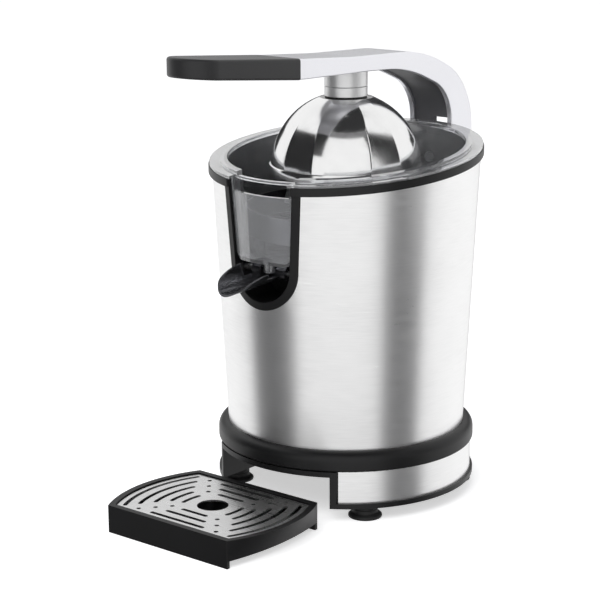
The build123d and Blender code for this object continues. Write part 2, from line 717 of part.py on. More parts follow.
def make_gear_cover():
    """Moulded cover over the gears."""
    cover = disc(COVER_R, PLATE_TOP, COVER_TOP)
    cover -= disc(COVER_R - COVER_T, PLATE_TOP, COVER_TOP - COVER_T)
    cover -= disc(HUB_BORE_R, PLATE_TOP, COVER_TOP)
    return cover - disc(IDLER_AXLE_R, PLATE_TOP, COVER_TOP, IDLER)


def make_spindle_bushes():
    """Two bronze bushes that guide the spindle."""
    bore = SPINDLE_R + FIT
    seal_low = HUB_TOP - SEAL_H
    return [
        ring(bore, HUB_BORE_R, COVER_TOP - COVER_T, COVER_TOP),
        ring(bore, HUB_BORE_R, seal_low - BUSH_H, seal_low),
    ]


def make_spindle_seal():
    """Lip seal at the top of the spindle hub."""
    return ring(SPINDLE_R + FIT, HUB_BORE_R, HUB_TOP - SEAL_H, HUB_TOP)


def make_idler_axle():
    """Fixed pin that the idler turns on."""
    return disc(IDLER_AXLE_R, PLATE_LOW, COVER_TOP, IDLER)


def make_idler_gear():
    """Large wheel and small pinion moulded as one."""
    bore = IDLER_AXLE_R + FIT
    wheel_high = WHEEL_LOW + WHEEL_T
    hub_high = COVER_TOP - COVER_T - CLEAR
    wheel = gear(
        WHEEL_TEETH, GEAR_MODULE_1, WHEEL_LOW, wheel_high, IDLER, bore, angle_to(IDLER, MOTOR)
    )
    gap = pi / IDLER_PINION_TEETH
    pinion = gear(
        IDLER_PINION_TEETH, GEAR_MODULE_2, wheel_high, hub_high, IDLER, bore,
        angle_to(IDLER, (0, 0)) + gap,
    )
    return wheel + pinion + ring(bore, GEAR_HUB_R, PLATE_TOP + CLEAR, WHEEL_LOW, IDLER)


def make_spindle():
    """Steel spindle with a square drive at its top."""
    half = DRIVE_SQUARE / 2
    spindle = disc(SPINDLE_R, SPINDLE_LOW, DRIVE_LOW)
    return spindle + block(-half, half, -half, half, DRIVE_LOW, SPINDLE_TOP)


def make_output_gear():
    """Large wheel on the spindle, free to ride down with it."""
    high = OUTPUT_LOW + OUTPUT_T
    low = SPINDLE_LOW + CUP_RIM + CLEAR
    wheel = gear(
        OUTPUT_TEETH, GEAR_MODULE_2, OUTPUT_LOW, high, (0, 0), SPINDLE_R, angle_to((0, 0), IDLER)
    )
    return wheel + ring(SPINDLE_R, GEAR_HUB_R, low, OUTPUT_LOW)


def make_thrust_cup():
    """Cup under the spindle, with the stem that works the switch."""
    low = SPINDLE_LOW - FIT - CUP_FLOOR
    cup = disc(CUP_R, low, SPINDLE_LOW + CUP_RIM)
    cup -= disc(SPINDLE_R + FIT, SPINDLE_LOW - FIT, SPINDLE_LOW + CUP_RIM)
    return cup + disc(CUP_STEM_R, low - CUP_STEM_H, low)


def make_press_spring():
    """Return spring between the plate and the cup, as its outer shape."""
    return ring(CUP_STEM_R + CLEAR, CUP_R, PLATE_TOP, SPINDLE_LOW - FIT - CUP_FLOOR)


def make_micro_switch():
    """Start switch under the stem."""
    half = SWITCH_W / 2
    body = block(
        -SWITCH_L / 2, SWITCH_L / 2, -half, half, SWITCH_TOP - SWITCH_H, SWITCH_TOP
    )
    return body + disc(SWITCH_KNOB_R, SWITCH_TOP, SWITCH_TOP + SWITCH_KNOB_H)


def make_switch_bracket():
    """Bent strip that hangs the switch from the plate."""
    x1 = -SWITCH_L / 2
    x0 = x1 - BRACKET_T
    strip = block(x0, x1, -SWITCH_W, SWITCH_W, SWITCH_TOP - SWITCH_H, PLATE_LOW)
    tab = block(
        x1 - BRACKET_TAB, x0, -SWITCH_W, SWITCH_W, PLATE_LOW - BRACKET_T, PLATE_LOW
    )
    return strip + tab


def motor_low():
    """Underside of the motor."""
    return PLATE_LOW - MOTOR_H


def stack_low():
    """Underside of the stator's steel stack."""
    return motor_low() + (MOTOR_H - STACK_H) / 2


def make_motor_cap(top):
    """End cap of the motor with its bush seat and skirt."""
    outer = MOTOR_R + MOTOR_SHELL_T
    if top:
        low, high = PLATE_LOW - MOTOR_CAP_T, PLATE_LOW
        skirt = ring(MOTOR_R, outer, PLATE_LOW - MOTOR_CAP_SKIRT, PLATE_LOW, MOTOR)
    else:
        low, high = motor_low(), motor_low() + MOTOR_CAP_T
        skirt = ring(MOTOR_R, outer, motor_low(), motor_low() + MOTOR_CAP_SKIRT, MOTOR)
    return disc(outer, low, high, MOTOR) + skirt - disc(SHAFT_BUSH_R, low, high, MOTOR)


def make_motor_stator():
    """Steel stack of the motor."""
    return ring(STACK_BORE_R, MOTOR_R, stack_low(), stack_low() + STACK_H, MOTOR)


def make_motor_windings():
    """Copper end turns above and below the stack, as their outer shape."""
    low = stack_low()
    high = low + STACK_H
    inner = STACK_BORE_R + AIR_GAP
    return [
        ring(inner, inner + WINDING_T, low - WINDING_H, low, MOTOR),
        ring(inner, inner + WINDING_T, high, high + WINDING_H, MOTOR),
    ]


def make_motor_bushes():
    """Two bushes of the motor shaft, in its caps."""
    bore = SHAFT_R + FIT
    low = motor_low()
    return [
        ring(bore, SHAFT_BUSH_R, low, low + MOTOR_CAP_T, MOTOR),
        ring(bore, SHAFT_BUSH_R, PLATE_LOW - MOTOR_CAP_T, PLATE_LOW, MOTOR),
    ]


def make_motor_rotor():
    """Rotor with its shaft."""
    rotor = disc(STACK_BORE_R - AIR_GAP, stack_low(), stack_low() + STACK_H, MOTOR)
    return rotor + disc(SHAFT_R, motor_low(), WHEEL_LOW + WHEEL_T, MOTOR)


def make_motor_pinion():
    """Pinion on the motor shaft."""
    gap = pi / PINION_TEETH
    return gear(
        PINION_TEETH, GEAR_MODULE_1, WHEEL_LOW, WHEEL_LOW + WHEEL_T, MOTOR, SHAFT_R,
        angle_to(MOTOR, IDLER) + gap,
    )


# Reamer

def reamer_dome(grow):
    """Pointed dome of the reamer with a flat tip, grown outwards by an amount."""
    radius = REAMER_R + grow
    top = REAMER_TOP + grow
    bulge = (radius * REAMER_BULGE, REAMER_LOW + (top - REAMER_LOW) * REAMER_BULGE)
    outline = make_face([
        Line((0, REAMER_LOW), (radius, REAMER_LOW)),
        ThreePointArc((radius, REAMER_LOW), bulge, (REAMER_TIP_R, top)),
        Line((REAMER_TIP_R, top), (0, top)),
        Line((0, top), (0, REAMER_LOW)),
    ])
    return revolve(Plane.XZ * outline, Axis.Z)


def make_reamer_cone():
    """Ribbed reamer on the spindle's square drive."""
    half = REAMER_RIB_T / 2
    ribs = [
        Rot(0, 0, 180 / REAMER_RIBS * i) * block(-FAR, FAR, -half, half, 0, FAR)
        for i in range(REAMER_RIBS)
    ]
    cone = reamer_dome(0)
    for rib in ribs:
        cone += reamer_dome(REAMER_RIB_H) & rib
    hollow = reamer_dome(-REAMER_T) - disc(REAMER_HUB_R, REAMER_LOW, REAMER_TOP)
    for rib in ribs[::2]:
        hollow -= rib
    cone -= hollow
    hub_low = REAMER_LOW - REAMER_SKIRT
    cone += disc(REAMER_HUB_R, hub_low, REAMER_LOW)
    cone -= disc(TUBE_R + CLEAR, hub_low, DECK_HIGH + TUBE_H + PRESS + CLEAR)
    cone -= disc(SPINDLE_R, hub_low, DRIVE_LOW)
    side = DRIVE_SQUARE / 2
    return cone - block(-side, side, -side, side, DRIVE_LOW, SPINDLE_TOP)


# Hinge and arm

def bracket_screw_spots():
    """Screws between the core and the hinge bracket, as (x, z)."""
    return [(s * BRACKET_SCREW_X, z) for s in (-1, 1) for z in BRACKET_SCREW_ZS]


def make_hinge_bracket():
    """Cast lug at the back of the body that carries the arm."""
    foot_r = ARM_DEPTH_BACK / 2
    side = [
        (0, LUG_LOW), (HINGE_Y - foot_r, LUG_LOW), (HINGE_Y + foot_r * 0.7, HINGE_Z - foot_r * 0.7),
        (HINGE_Y, HINGE_Z), (0, HINGE_Z),
    ]
    bracket = side_prism(Polyline(*side, close=True), -LUG_HALF, LUG_HALF)
    bracket += rod_x(foot_r, -LUG_HALF, LUG_HALF, HINGE_Y, HINGE_Z)
    bracket -= body_cone(SLEEVE_T)
    bracket -= rod_x(HINGE_PIN_R + FIT, -FAR, FAR, HINGE_Y, HINGE_Z)
    for x, z in bracket_screw_spots():
        bracket -= rod_y(SCREW_R, 0, bracket_screw_seat(z) + BRACKET_SCREW_L, x, z)
    return bracket


def bracket_screw_seat(z):
    """Inner face of the core where a bracket screw's head sits."""
    radius = body_radius(z) - CORE_SET - CORE_T
    return sqrt(radius**2 - (BRACKET_SCREW_X + SCREW_HEAD_R)**2) - SEAT


def make_bracket_screws():
    """Screws from inside the core into the bracket."""
    screws = []
    for x, z in bracket_screw_spots():
        seat = bracket_screw_seat(z)
        head = rod_y(SCREW_HEAD_R, seat - SCREW_HEAD_H, seat, x, z)
        screws.append(head + rod_y(SCREW_R, seat, seat + BRACKET_SCREW_L, x, z))
    return screws


def make_hinge_washers():
    """Washers between the lug and the arm's cheeks."""
    ends = (LUG_HALF, ARM_HALF - ARM_CHEEK - FIT)
    bore = rod_x(HINGE_PIN_R + FIT, -FAR, FAR, HINGE_Y, HINGE_Z)
    return [
        rod_x(WASHER_R, *sorted(s * end for end in ends), HINGE_Y, HINGE_Z) - bore for s in (-1, 1)
    ]


def make_hinge_pin():
    """Pin through the arm's cheeks and the lug."""
    return rod_x(HINGE_PIN_R, -ARM_HALF, ARM_HALF, HINGE_Y, HINGE_Z)


def arm_edges():
    """Outline of the arm from the side, as (y, z) edges."""
    foot_r = ARM_DEPTH_BACK / 2
    back = (HINGE_Y + foot_r, HINGE_Z)
    front = (HINGE_Y - foot_r, HINGE_Z)
    return [
        FilletPolyline(*ARM_TOP, back, radius=ARM_TOP_R),
        ThreePointArc(back, (HINGE_Y, HINGE_Z - foot_r), front),
        FilletPolyline(*ARM_UNDER, front, radius=ARM_UNDER_R),
        Line(ARM_UNDER[0], ARM_TOP[0]),
    ]


def under_arm():
    """Face of the space under the arm, as (y, z)."""
    front = (HINGE_Y - ARM_DEPTH_BACK / 2, HINGE_Z)
    corner = (ARM_FRONT, HINGE_Z)
    return make_face([
        FilletPolyline(*ARM_UNDER, front, radius=ARM_UNDER_R),
        Line(front, corner),
        Line(corner, ARM_UNDER[0]),
    ])


def recess_slab(depth, half):
    """Space within a depth of the arm's underside, behind the boss."""
    face = offset(under_arm(), depth)
    slab = extrude(Plane.YZ.offset(-half) * face, 2 * half)
    return slab & block(-FAR, FAR, RECESS_FRONT, FAR, HINGE_Z, FAR)


def tongue():
    """Bar of the arm inside the grip."""
    middle = (ARM_TOP[0][1] + ARM_UNDER[0][1]) / 2
    slope = GRIP_RISE / (ARM_FRONT - GRIP_FRONT)
    end = ARM_FRONT - TONGUE_L
    rise = TONGUE_L * slope
    half = TONGUE_T / 2
    corners = [
        (ARM_FRONT, middle - half), (ARM_FRONT, middle + half),
        (end, middle + half + rise), (end, middle - half + rise),
    ]
    return side_prism(Polyline(*corners, close=True), -TONGUE_HALF, TONGUE_HALF)


def make_arm_shell():
    """Cast arm: bar in front, recessed underside and two cheeks at the hinge."""
    inner = ARM_HALF - ARM_CHEEK
    arm = side_prism(arm_edges(), -ARM_HALF, ARM_HALF)
    arm -= recess_slab(RECESS_DEPTH, inner)
    arm -= block(-inner, inner, 0, FAR, 0, FORK_TOP)
    arm -= rod_x(HINGE_PIN_R, -FAR, FAR, HINGE_Y, HINGE_Z)
    return arm + tongue()


def make_arm_liner():
    """Dark liner in the recess, with a fin between the cheeks."""
    half = ARM_HALF - ARM_CHEEK - SEAT
    liner = recess_slab(RECESS_DEPTH - SEAT, half) - recess_slab(LINER_SET, half)
    liner &= block(-FAR, FAR, RECESS_FRONT + SEAT, FAR, FORK_TOP, FAR)
    liner &= side_prism(arm_edges(), -half, half)
    front = HINGE_Y - ARM_DEPTH_BACK / 2 + LINER_SET
    fin = block(
        -half, LINER_FIN_EDGE, front, front + LINER_FIN_DEPTH - LINER_SET, LINER_FIN_Z,
        FORK_TOP + LINER_SET,
    )
    return liner + fin


def make_grip():
    """Soft grip over the arm's tongue."""
    middle = (ARM_TOP[0][1] + ARM_UNDER[0][1]) / 2
    half = GRIP_T / 2
    tip = GRIP_TIP_T / 2
    corners = [
        (ARM_FRONT, middle - half), (ARM_FRONT, middle + half),
        (GRIP_FRONT, middle + tip + GRIP_RISE), (GRIP_FRONT, middle - tip + GRIP_RISE),
    ]
    bar = side_prism(Polyline(*corners, close=True), -GRIP_HALF, GRIP_HALF)
    start = GRIP_FRONT + GRIP_HALF
    plan = make_face([
        Line((GRIP_HALF, ARM_FRONT), (GRIP_HALF, start)),
        ThreePointArc((GRIP_HALF, start), (0, GRIP_FRONT), (-GRIP_HALF, start)),
        Line((-GRIP_HALF, start), (-GRIP_HALF, ARM_FRONT)),
        Line((-GRIP_HALF, ARM_FRONT), (GRIP_HALF, ARM_FRONT)),
    ])
    grip = bar & extrude(plan, FAR)
    rims = grip.edges().filter_by(Axis.Z, reverse=True)
    grip = fillet([edge for edge in rims if edge.center().Y < ARM_FRONT - GRIP_EDGE], GRIP_EDGE)
    return grip - tongue()


# Boss and hood

def make_boss_collar():
    """Upper steel ring, fixed under the arm."""
    collar = disc(BOSS_R, BOSS_LOW, ARM_UNDER[0][1]) - side_prism(arm_edges(), -FAR, FAR)
    collar -= disc(HOOD_PIN_R + FIT, BOSS_LOW, BOSS_CAVITY_LOW)
    return collar - disc(
        BOSS_CAVITY_R, BOSS_CAVITY_LOW, BOSS_CAVITY_LOW + BOSS_CAVITY_H
    )


def make_hood_pin():
    """Pin of the hood, held by its head inside the upper ring."""
    low = HOOD_NECK - HOOD_T - NUT_H
    seat = BOSS_CAVITY_LOW + FIT
    return disc(HOOD_PIN_R, low, seat) + disc(HOOD_PIN_HEAD_R, seat, seat + HOOD_PIN_HEAD_H)


def make_hood_collar():
    """Lower steel ring, on the hood."""
    return ring(HOOD_PIN_R, BOSS_R, HOOD_NECK + GASKET_T, BOSS_LOW - BOSS_SEAM)


def make_hood_gasket():
    """Black washer between the ring and the dome."""
    return ring(HOOD_PIN_R, GASKET_R, HOOD_NECK, HOOD_NECK + GASKET_T)


def dome_radius(z):
    """Radius of the dome at its creases."""
    return HOOD_R * sqrt(1 - ((z - HOOD_WIDEST) / HOOD_RISE)**2)


def panel_depth(span, crown):
    """Radius at the middle of a panel, as a share of the radius at its creases."""
    chord = cos(radians(span / 2))
    return chord + crown * (1 - chord)


def hood_section(z):
    """Outline of the dome at a height: narrow and wide panels in turn."""
    wide = 360 / HOOD_PANELS - HOOD_NARROW
    radius = dome_radius(z)
    angle = HOOD_TURN
    edges = []
    for span, crown in [(HOOD_NARROW, HOOD_NARROW_CROWN), (wide, HOOD_CROWN)] * HOOD_PANELS:
        middle = radius * panel_depth(span, crown)
        turns = [radians(angle), radians(angle + span / 2), radians(angle + span)]
        points = [
            (r * cos(t), r * sin(t), z) for r, t in zip((radius, middle, radius), turns)
        ]
        edges.append(ThreePointArc(*points))
        angle += span
    return make_face(edges)


def make_hood_dome():
    """Polished pressing hood with panels, hollow from below."""
    low = HOOD_LOW + HOOD_RIM_H
    heights = [
        low + (HOOD_NECK - low) * sin(pi / 2 * i / (HOOD_SECTIONS - 1)) for i in range(HOOD_SECTIONS)
    ]
    dome = loft([hood_section(z) for z in heights])
    rim_r = dome_radius(low) + HOOD_RIM_PROUD
    dome += disc(rim_r, HOOD_LOW, low)
    wide = 360 / HOOD_PANELS - HOOD_NARROW
    flat = min(panel_depth(HOOD_NARROW, HOOD_NARROW_CROWN), panel_depth(wide, HOOD_CROWN))
    hollow_r = dome_radius(low) * flat - HOOD_T
    bend = HOOD_HOLLOW_AT * (HOOD_NECK - HOOD_T - HOOD_LOW)
    hollow = make_face([
        Line((0, HOOD_LOW), (hollow_r, HOOD_LOW)),
        Line((hollow_r, HOOD_LOW), (hollow_r, low)),
        ThreePointArc(
            (hollow_r, low),
            (dome_radius(HOOD_LOW + bend) * flat - HOOD_T, HOOD_LOW + bend - HOOD_T),
            (NUT_R, HOOD_NECK - HOOD_T),
        ),
        Line((NUT_R, HOOD_NECK - HOOD_T), (0, HOOD_NECK - HOOD_T)),
        Line((0, HOOD_NECK - HOOD_T), (0, HOOD_LOW)),
    ])
    return dome - revolve(Plane.XZ * hollow, Axis.Z) - disc(HOOD_PIN_R, HOOD_LOW, FAR)


def make_hood_nut():
    """Hexagon nut that holds the dome on its pin."""
    high = HOOD_NECK - HOOD_T
    nut = extrude(Plane.XY.offset(high - NUT_H) * RegularPolygon(NUT_R, 6), NUT_H)
    return nut - disc(HOOD_PIN_R, high - NUT_H, high)


# Tray

def tray_edges(inset, lean):
    """Outline of the tray in plan: straight walls and rounded sides."""
    half_d = TRAY_HALF_D - inset
    centre = TRAY_HALF_W - sqrt(TRAY_SIDE_R**2 - TRAY_HALF_D**2)
    radius = TRAY_SIDE_R - inset
    corner = centre + sqrt(radius**2 - half_d**2)
    bulge = centre + radius - lean
    return [
        Line((-corner, -half_d), (corner, -half_d)),
        ThreePointArc((corner, -half_d), (bulge, 0), (corner, half_d)),
        Line((corner, half_d), (-corner, half_d)),
        ThreePointArc((-corner, half_d), (-bulge, 0), (-corner, -half_d)),
    ]


def tray_face(inset, lean, z):
    """The tray's outline at a height."""
    return Pos(0, 0, z) * make_face(tray_edges(inset, lean))


def stand_tray(piece):
    """Piece of the tray moved to where the tray stands."""
    return Pos(0, TRAY_Y, 0) * Rot(0, 0, TRAY_YAW) * piece


def make_drip_tray():
    """Black tray: full-height straight walls, rounded sides that lean in."""
    belly = loft([tray_face(0, TRAY_BELLY_IN, TRAY_BELLY_LOW), tray_face(0, 0, TRAY_H)])
    floor = TRAY_BELLY_LOW + TRAY_FLOOR_T
    for s in (-1, 1):
        ends = sorted((s * TRAY_HALF_D, s * (TRAY_HALF_D - TRAY_WALL)))
        belly += block(-TRAY_HALF_W, TRAY_HALF_W, *ends, 0, TRAY_H)
    well = extrude(tray_face(TRAY_RIM + TRAY_WALL, TRAY_BELLY_IN, floor), TRAY_H - floor)
    seat = extrude(tray_face(TRAY_RIM, 0, GRID_LOW), TRAY_H - GRID_LOW)
    return stand_tray(belly - well - seat)


def make_tray_grid():
    """Steel plate with slots, dots and a centre hole."""
    plate = extrude(tray_face(TRAY_RIM + CLEAR, 0, GRID_LOW), GRID_T)
    cuts = [disc(GRID_HOLE_R, 0, TRAY_H)]
    centre = TRAY_HALF_W - sqrt(TRAY_SIDE_R**2 - TRAY_HALF_D**2)
    for i, half in enumerate(GRID_ARC_HALVES):
        radius = GRID_FIRST + GRID_PITCH * i - centre
        turn = degrees(asin(half / radius))
        edge = CenterArc((centre, 0), radius, -turn, 2 * turn)
        slot = extrude(SlotArc(edge, GRID_SLOT_W), TRAY_H)
        cuts += [slot, Rot(0, 0, 180) * slot]
    for y, half in GRID_ROWS:
        for s in (-1, 1):
            cuts.append(Pos(0, s * y, 0) * extrude(SlotOverall(2 * half, GRID_SLOT_W), TRAY_H))
    for x, y in GRID_DOTS:
        for sx in (-1, 1):
            for sy in (-1, 1):
                cuts.append(disc(GRID_DOT_R, 0, TRAY_H, (sx * x, sy * y)))
    return stand_tray(plate - cuts)


PARTS = {
    "base_shell": make_base_shell,
    "base_band": make_base_band,
    "base_flange": make_base_flange,
    "rubber_feet": make_rubber_feet,
    "base_screws": make_base_screws,
    "floor_plate": make_floor_plate,
    "cord_gland": make_cord_gland,
    "body_sleeve": make_body_sleeve,
    "rim_trim": make_rim_trim,
    "body_core": make_body_core,
    "juice_bowl": make_juice_bowl,
    "strainer": make_strainer,
    "spout_pins": make_spout_pins,
    "pouring_spout": make_pouring_spout,
    "plate_posts": make_plate_posts,
    "gear_plate": make_gear_plate,
    "plate_screws": make_plate_screws,
    "gear_cover": make_gear_cover,
    "spindle_bushes": make_spindle_bushes,
    "spindle_seal": make_spindle_seal,
    "idler_axle": make_idler_axle,
    "idler_gear": make_idler_gear,
    "spindle": make_spindle,
    "output_gear": make_output_gear,
    "thrust_cup": make_thrust_cup,
    "press_spring": make_press_spring,
    "micro_switch": make_micro_switch,
    "switch_bracket": make_switch_bracket,
    "motor_top_cap": lambda: make_motor_cap(True),
    "motor_bottom_cap": lambda: make_motor_cap(False),
    "motor_stator": make_motor_stator,
    "motor_windings": make_motor_windings,
    "motor_bushes": make_motor_bushes,
    "motor_rotor": make_motor_rotor,
    "motor_pinion": make_motor_pinion,
    "reamer_cone": make_reamer_cone,
    "hinge_bracket": make_hinge_bracket,
    "bracket_screws": make_bracket_screws,
    "hinge_washers": make_hinge_washers,
    "hinge_pin": make_hinge_pin,
    "arm_shell": make_arm_shell,
    "arm_liner": make_arm_liner,
    "grip": make_grip,
    "boss_collar": make_boss_collar,
    "hood_pin": make_hood_pin,
    "hood_collar": make_hood_collar,
    "hood_gasket": make_hood_gasket,
    "hood_dome": make_hood_dome,
    "hood_nut": make_hood_nut,
    "drip_tray": make_drip_tray,
    "tray_grid": make_tray_grid,
}


def main():
    """Write each piece to its own file, with the origin under the middle of the whole object."""
    os.makedirs("parts", exist_ok=True)
    solids = {}
    for name, make in PARTS.items():
        made = make()
        solids[name] = made if isinstance(made, list) else [made]
    boxes = [solid.bounding_box() for group in solids.values() for solid in group]
    front = min(box.min.Y for box in boxes)
    back = max(box.max.Y for box in boxes)
    middle = Pos(0, -(front + back) / 2, 0)
    for name, group in solids.items():
        moved = [middle * solid for solid in group]
        export_step(moved[0] if len(moved) == 1 else Compound(children=moved), f"parts/{name}.step")


if __name__ == "__main__":
    main()
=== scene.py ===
"""Looks of a lever citrus press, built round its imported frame."""

import json
import logging
import math
from dataclasses import dataclass, field
from enum import Enum

import bmesh
import bpy
from mathutils import Matrix, Vector

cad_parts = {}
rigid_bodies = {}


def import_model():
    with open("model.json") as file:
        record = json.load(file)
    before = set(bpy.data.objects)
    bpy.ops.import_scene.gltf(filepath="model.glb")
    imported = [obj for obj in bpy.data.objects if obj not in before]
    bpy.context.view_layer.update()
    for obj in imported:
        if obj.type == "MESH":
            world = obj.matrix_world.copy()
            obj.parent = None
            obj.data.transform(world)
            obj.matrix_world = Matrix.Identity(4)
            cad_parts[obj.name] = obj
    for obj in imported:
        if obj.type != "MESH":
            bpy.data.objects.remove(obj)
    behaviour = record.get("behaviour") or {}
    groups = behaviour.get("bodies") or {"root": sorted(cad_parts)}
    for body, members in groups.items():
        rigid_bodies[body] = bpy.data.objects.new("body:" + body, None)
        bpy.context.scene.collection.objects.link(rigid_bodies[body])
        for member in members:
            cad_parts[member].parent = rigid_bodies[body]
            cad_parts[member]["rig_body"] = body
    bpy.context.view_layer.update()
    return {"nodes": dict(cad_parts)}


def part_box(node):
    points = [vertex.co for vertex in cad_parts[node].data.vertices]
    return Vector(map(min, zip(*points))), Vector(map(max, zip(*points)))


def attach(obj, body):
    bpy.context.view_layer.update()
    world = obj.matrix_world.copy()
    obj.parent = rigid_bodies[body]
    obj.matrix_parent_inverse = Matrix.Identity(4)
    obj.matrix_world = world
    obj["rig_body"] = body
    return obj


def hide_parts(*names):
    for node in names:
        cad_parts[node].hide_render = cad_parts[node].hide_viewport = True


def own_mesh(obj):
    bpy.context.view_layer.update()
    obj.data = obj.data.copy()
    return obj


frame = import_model()
LOG = logging.getLogger("citrus_press")
MM = 0.001
AXIS_Y = 30.1  # the body's axis behind the origin, in millimetres
SEAM = 2e-6  # points closer together than this are one, in metres
SHARP = 40.0  # edges of made meshes that bend by more degrees than this are sharp

Point = tuple[float, float, float]
Corner = tuple[float, float]
Inputs = dict[str | int, object]


# Nodes and colours

def linear(code: str) -> tuple[float, float, float, float]:
    """Turns an sRGB hex colour into the linear colour that shaders take.

    Args:
        code: Six hex digits after a hash sign.

    Returns:
        Linear red, green and blue, with an alpha of one.
    """
    parts = [int(code[i:i + 2], 16) / 255 for i in (1, 3, 5)]
    red, green, blue = (
        c / 12.92 if c <= 0.04045 else ((c + 0.055) / 1.055)**2.4 for c in parts
    )
    return red, green, blue, 1.0


def add_node(
    tree: bpy.types.NodeTree,
    kind: str,
    settings: dict[str, object] | None = None,
    inputs: Inputs | None = None,
) -> bpy.types.Node:
    """Adds a node with its settings, and sets or links its inputs.

    Args:
        tree: The tree that gets the node.
        kind: The node's type name.
        settings: Properties of the node.
        inputs: Values and sockets for its inputs, by name or number.

    Returns:
        The new node.
    """
    node = tree.nodes.new(kind)
    for key, value in (settings or {}).items():
        setattr(node, key, value)
    for key, value in (inputs or {}).items():
        if isinstance(value, bpy.types.NodeSocket):
            tree.links.new(value, node.inputs[key])
        else:
            node.inputs[key].default_value = value
    return node


# Finishes

class Grain(Enum):
    """How the pattern of a surface was made."""

    NOISE = "noise"
    LINES = "lines"


@dataclass(frozen=True)
class Finish:
    """A material by what it is and how its surface was made.

    Sizes are in millimetres. The grain is the size of one mark along X, Y and Z, the cloud the
    size of the slow changes of tone over the whole piece. The roughness swings by the spread to
    either side, the bump is the depth of the marks, and the turn, in degrees, turns them.
    """

    name: str
    colour: str
    variant: str
    roughness: float
    spread: float
    grain: Point
    bump: float
    metallic: float = 0.0
    ior: float = 1.5
    cloud: float = 40.0
    pattern: Grain = Grain.NOISE
    turn: Point = (0.0, 0.0, 0.0)
    extras: tuple[tuple[str, float], ...] = ()

    def build(self) -> bpy.types.Material:
        """Makes the material, once for each finish.

        Returns:
            The material with its node tree.
        """
        material = bpy.data.materials.get(self.name)
        if material:
            return material
        material = bpy.data.materials.new(self.name)
        material.use_nodes = True
        material.diffuse_color = linear(self.colour)
        tree = material.node_tree
        shader = tree.nodes["Principled BSDF"]
        marks, clouds = self.patterns(tree)
        share = add_node(tree, "ShaderNodeMath", {"operation": "MULTIPLY"}, {0: marks, 1: clouds})
        # Sockets 6 and 7 are the two colours of a mix, its output 2 the mixed one
        tone = add_node(tree, "ShaderNodeMix", {"data_type": "RGBA"}, {
            0: share.outputs[0], 6: linear(self.colour), 7: linear(self.variant),
        })
        tree.links.new(tone.outputs[2], shader.inputs["Base Color"])
        # Most values of the marks lie between a quarter and three quarters
        gloss = add_node(tree, "ShaderNodeMapRange", {}, {
            "Value": marks, "From Min": 0.25, "From Max": 0.75,
            "To Min": self.roughness - self.spread, "To Max": self.roughness + self.spread,
        })
        tree.links.new(gloss.outputs[0], shader.inputs["Roughness"])
        relief = add_node(tree, "ShaderNodeBump", {}, {
            "Strength": 1.0, "Distance": self.bump * MM, "Height": marks,
        })
        tree.links.new(relief.outputs[0], shader.inputs["Normal"])
        shader.inputs["Metallic"].default_value = self.metallic
        shader.inputs["IOR"].default_value = self.ior
        for socket, value in self.extras:
            shader.inputs[socket].default_value = value
        return material

    def patterns(
        self, tree: bpy.types.NodeTree
    ) -> tuple[bpy.types.NodeSocket, bpy.types.NodeSocket]:
        """Makes the marks of the grain and the slow changes of tone.

        Args:
            tree: The material's tree.

        Returns:
            The sockets of the marks and of the slow changes, both from 0 to 1.
        """
        place = add_node(tree, "ShaderNodeTexCoord").outputs["Object"]
        stretched = add_node(tree, "ShaderNodeMapping", {}, {
            "Vector": place,
            "Scale": [1 / (size * MM) for size in self.grain],
            "Rotation": [math.radians(a) for a in self.turn],
        }).outputs[0]
        if self.pattern is Grain.LINES:
            marks = add_node(tree, "ShaderNodeTexWave", {"bands_direction": "Z"}, {
                "Vector": stretched, "Scale": 1.0, "Distortion": 0.6, "Detail": 2.0,
            }).outputs["Fac"]
        else:
            marks = add_node(tree, "ShaderNodeTexNoise", {}, {
                "Vector": stretched, "Scale": 1.0, "Detail": 4.0, "Roughness": 0.6,
            }).outputs["Fac"]
        clouds = add_node(tree, "ShaderNodeTexNoise", {}, {
            "Vector": place, "Scale": 1 / (self.cloud * MM), "Detail": 2.0,
        }).outputs["Fac"]
        return marks, clouds


# ABS, moulded in a tool with a fine eroded grain: satin black with small broken highlights
BLACK_ABS = Finish(
    "black_abs_eroded", "#0d0d0e", "#1a1a1b", 0.4, 0.05, (0.5, 0.5, 0.5), 0.008,
    extras=(("Specular IOR Level", 0.35),),
)
# ABS of the arm's liner, moulded in grey: satin, with the same fine grain
GREY_ABS = Finish("grey_abs_satin", "#5a5a5d", "#6e6e71", 0.42, 0.05, (0.6, 0.6, 0.6), 0.012)
# Clear styrene acrylonitrile, moulded and polished: a cool cast at its edges, faint flow marks
CLEAR_SAN = Finish(
    "clear_san_polished", "#f3f4f6", "#e8e9ec", 0.035, 0.02, (9.0, 9.0, 9.0), 0.003, ior=1.49,
    extras=(
        ("Transmission Weight", 0.9), ("Coat Weight", 1.0), ("Coat Roughness", 0.03),
        ("Coat IOR", 1.6),
    ),
)
# Dark chrome plated on the moulded spout: a dim mirror with streaks of light
DARK_CHROME = Finish(
    "dark_chrome_on_abs", "#57575a", "#48484b", 0.15, 0.03, (2.5, 2.5, 2.5), 0.001,
    metallic=0.85,
)
# Acetal, cut gears: milky white, waxy
ACETAL = Finish(
    "white_acetal_cut", "#e6e3da", "#d6d2c6", 0.4, 0.06, (1.2, 1.2, 1.2), 0.01, ior=1.48,
)
# Thermoplastic rubber over the grip: soft black with a dull sheen
SOFT_TOUCH = Finish(
    "soft_touch_rubber", "#161617", "#272729", 0.5, 0.06, (0.45, 0.45, 0.45), 0.015,
    extras=(("Sheen Weight", 0.12), ("Sheen Roughness", 0.5)),
)
# Nitrile rubber, moulded: matt black
NITRILE = Finish("black_nitrile_matt", "#121212", "#242424", 0.62, 0.08, (0.7, 0.7, 0.7), 0.02)
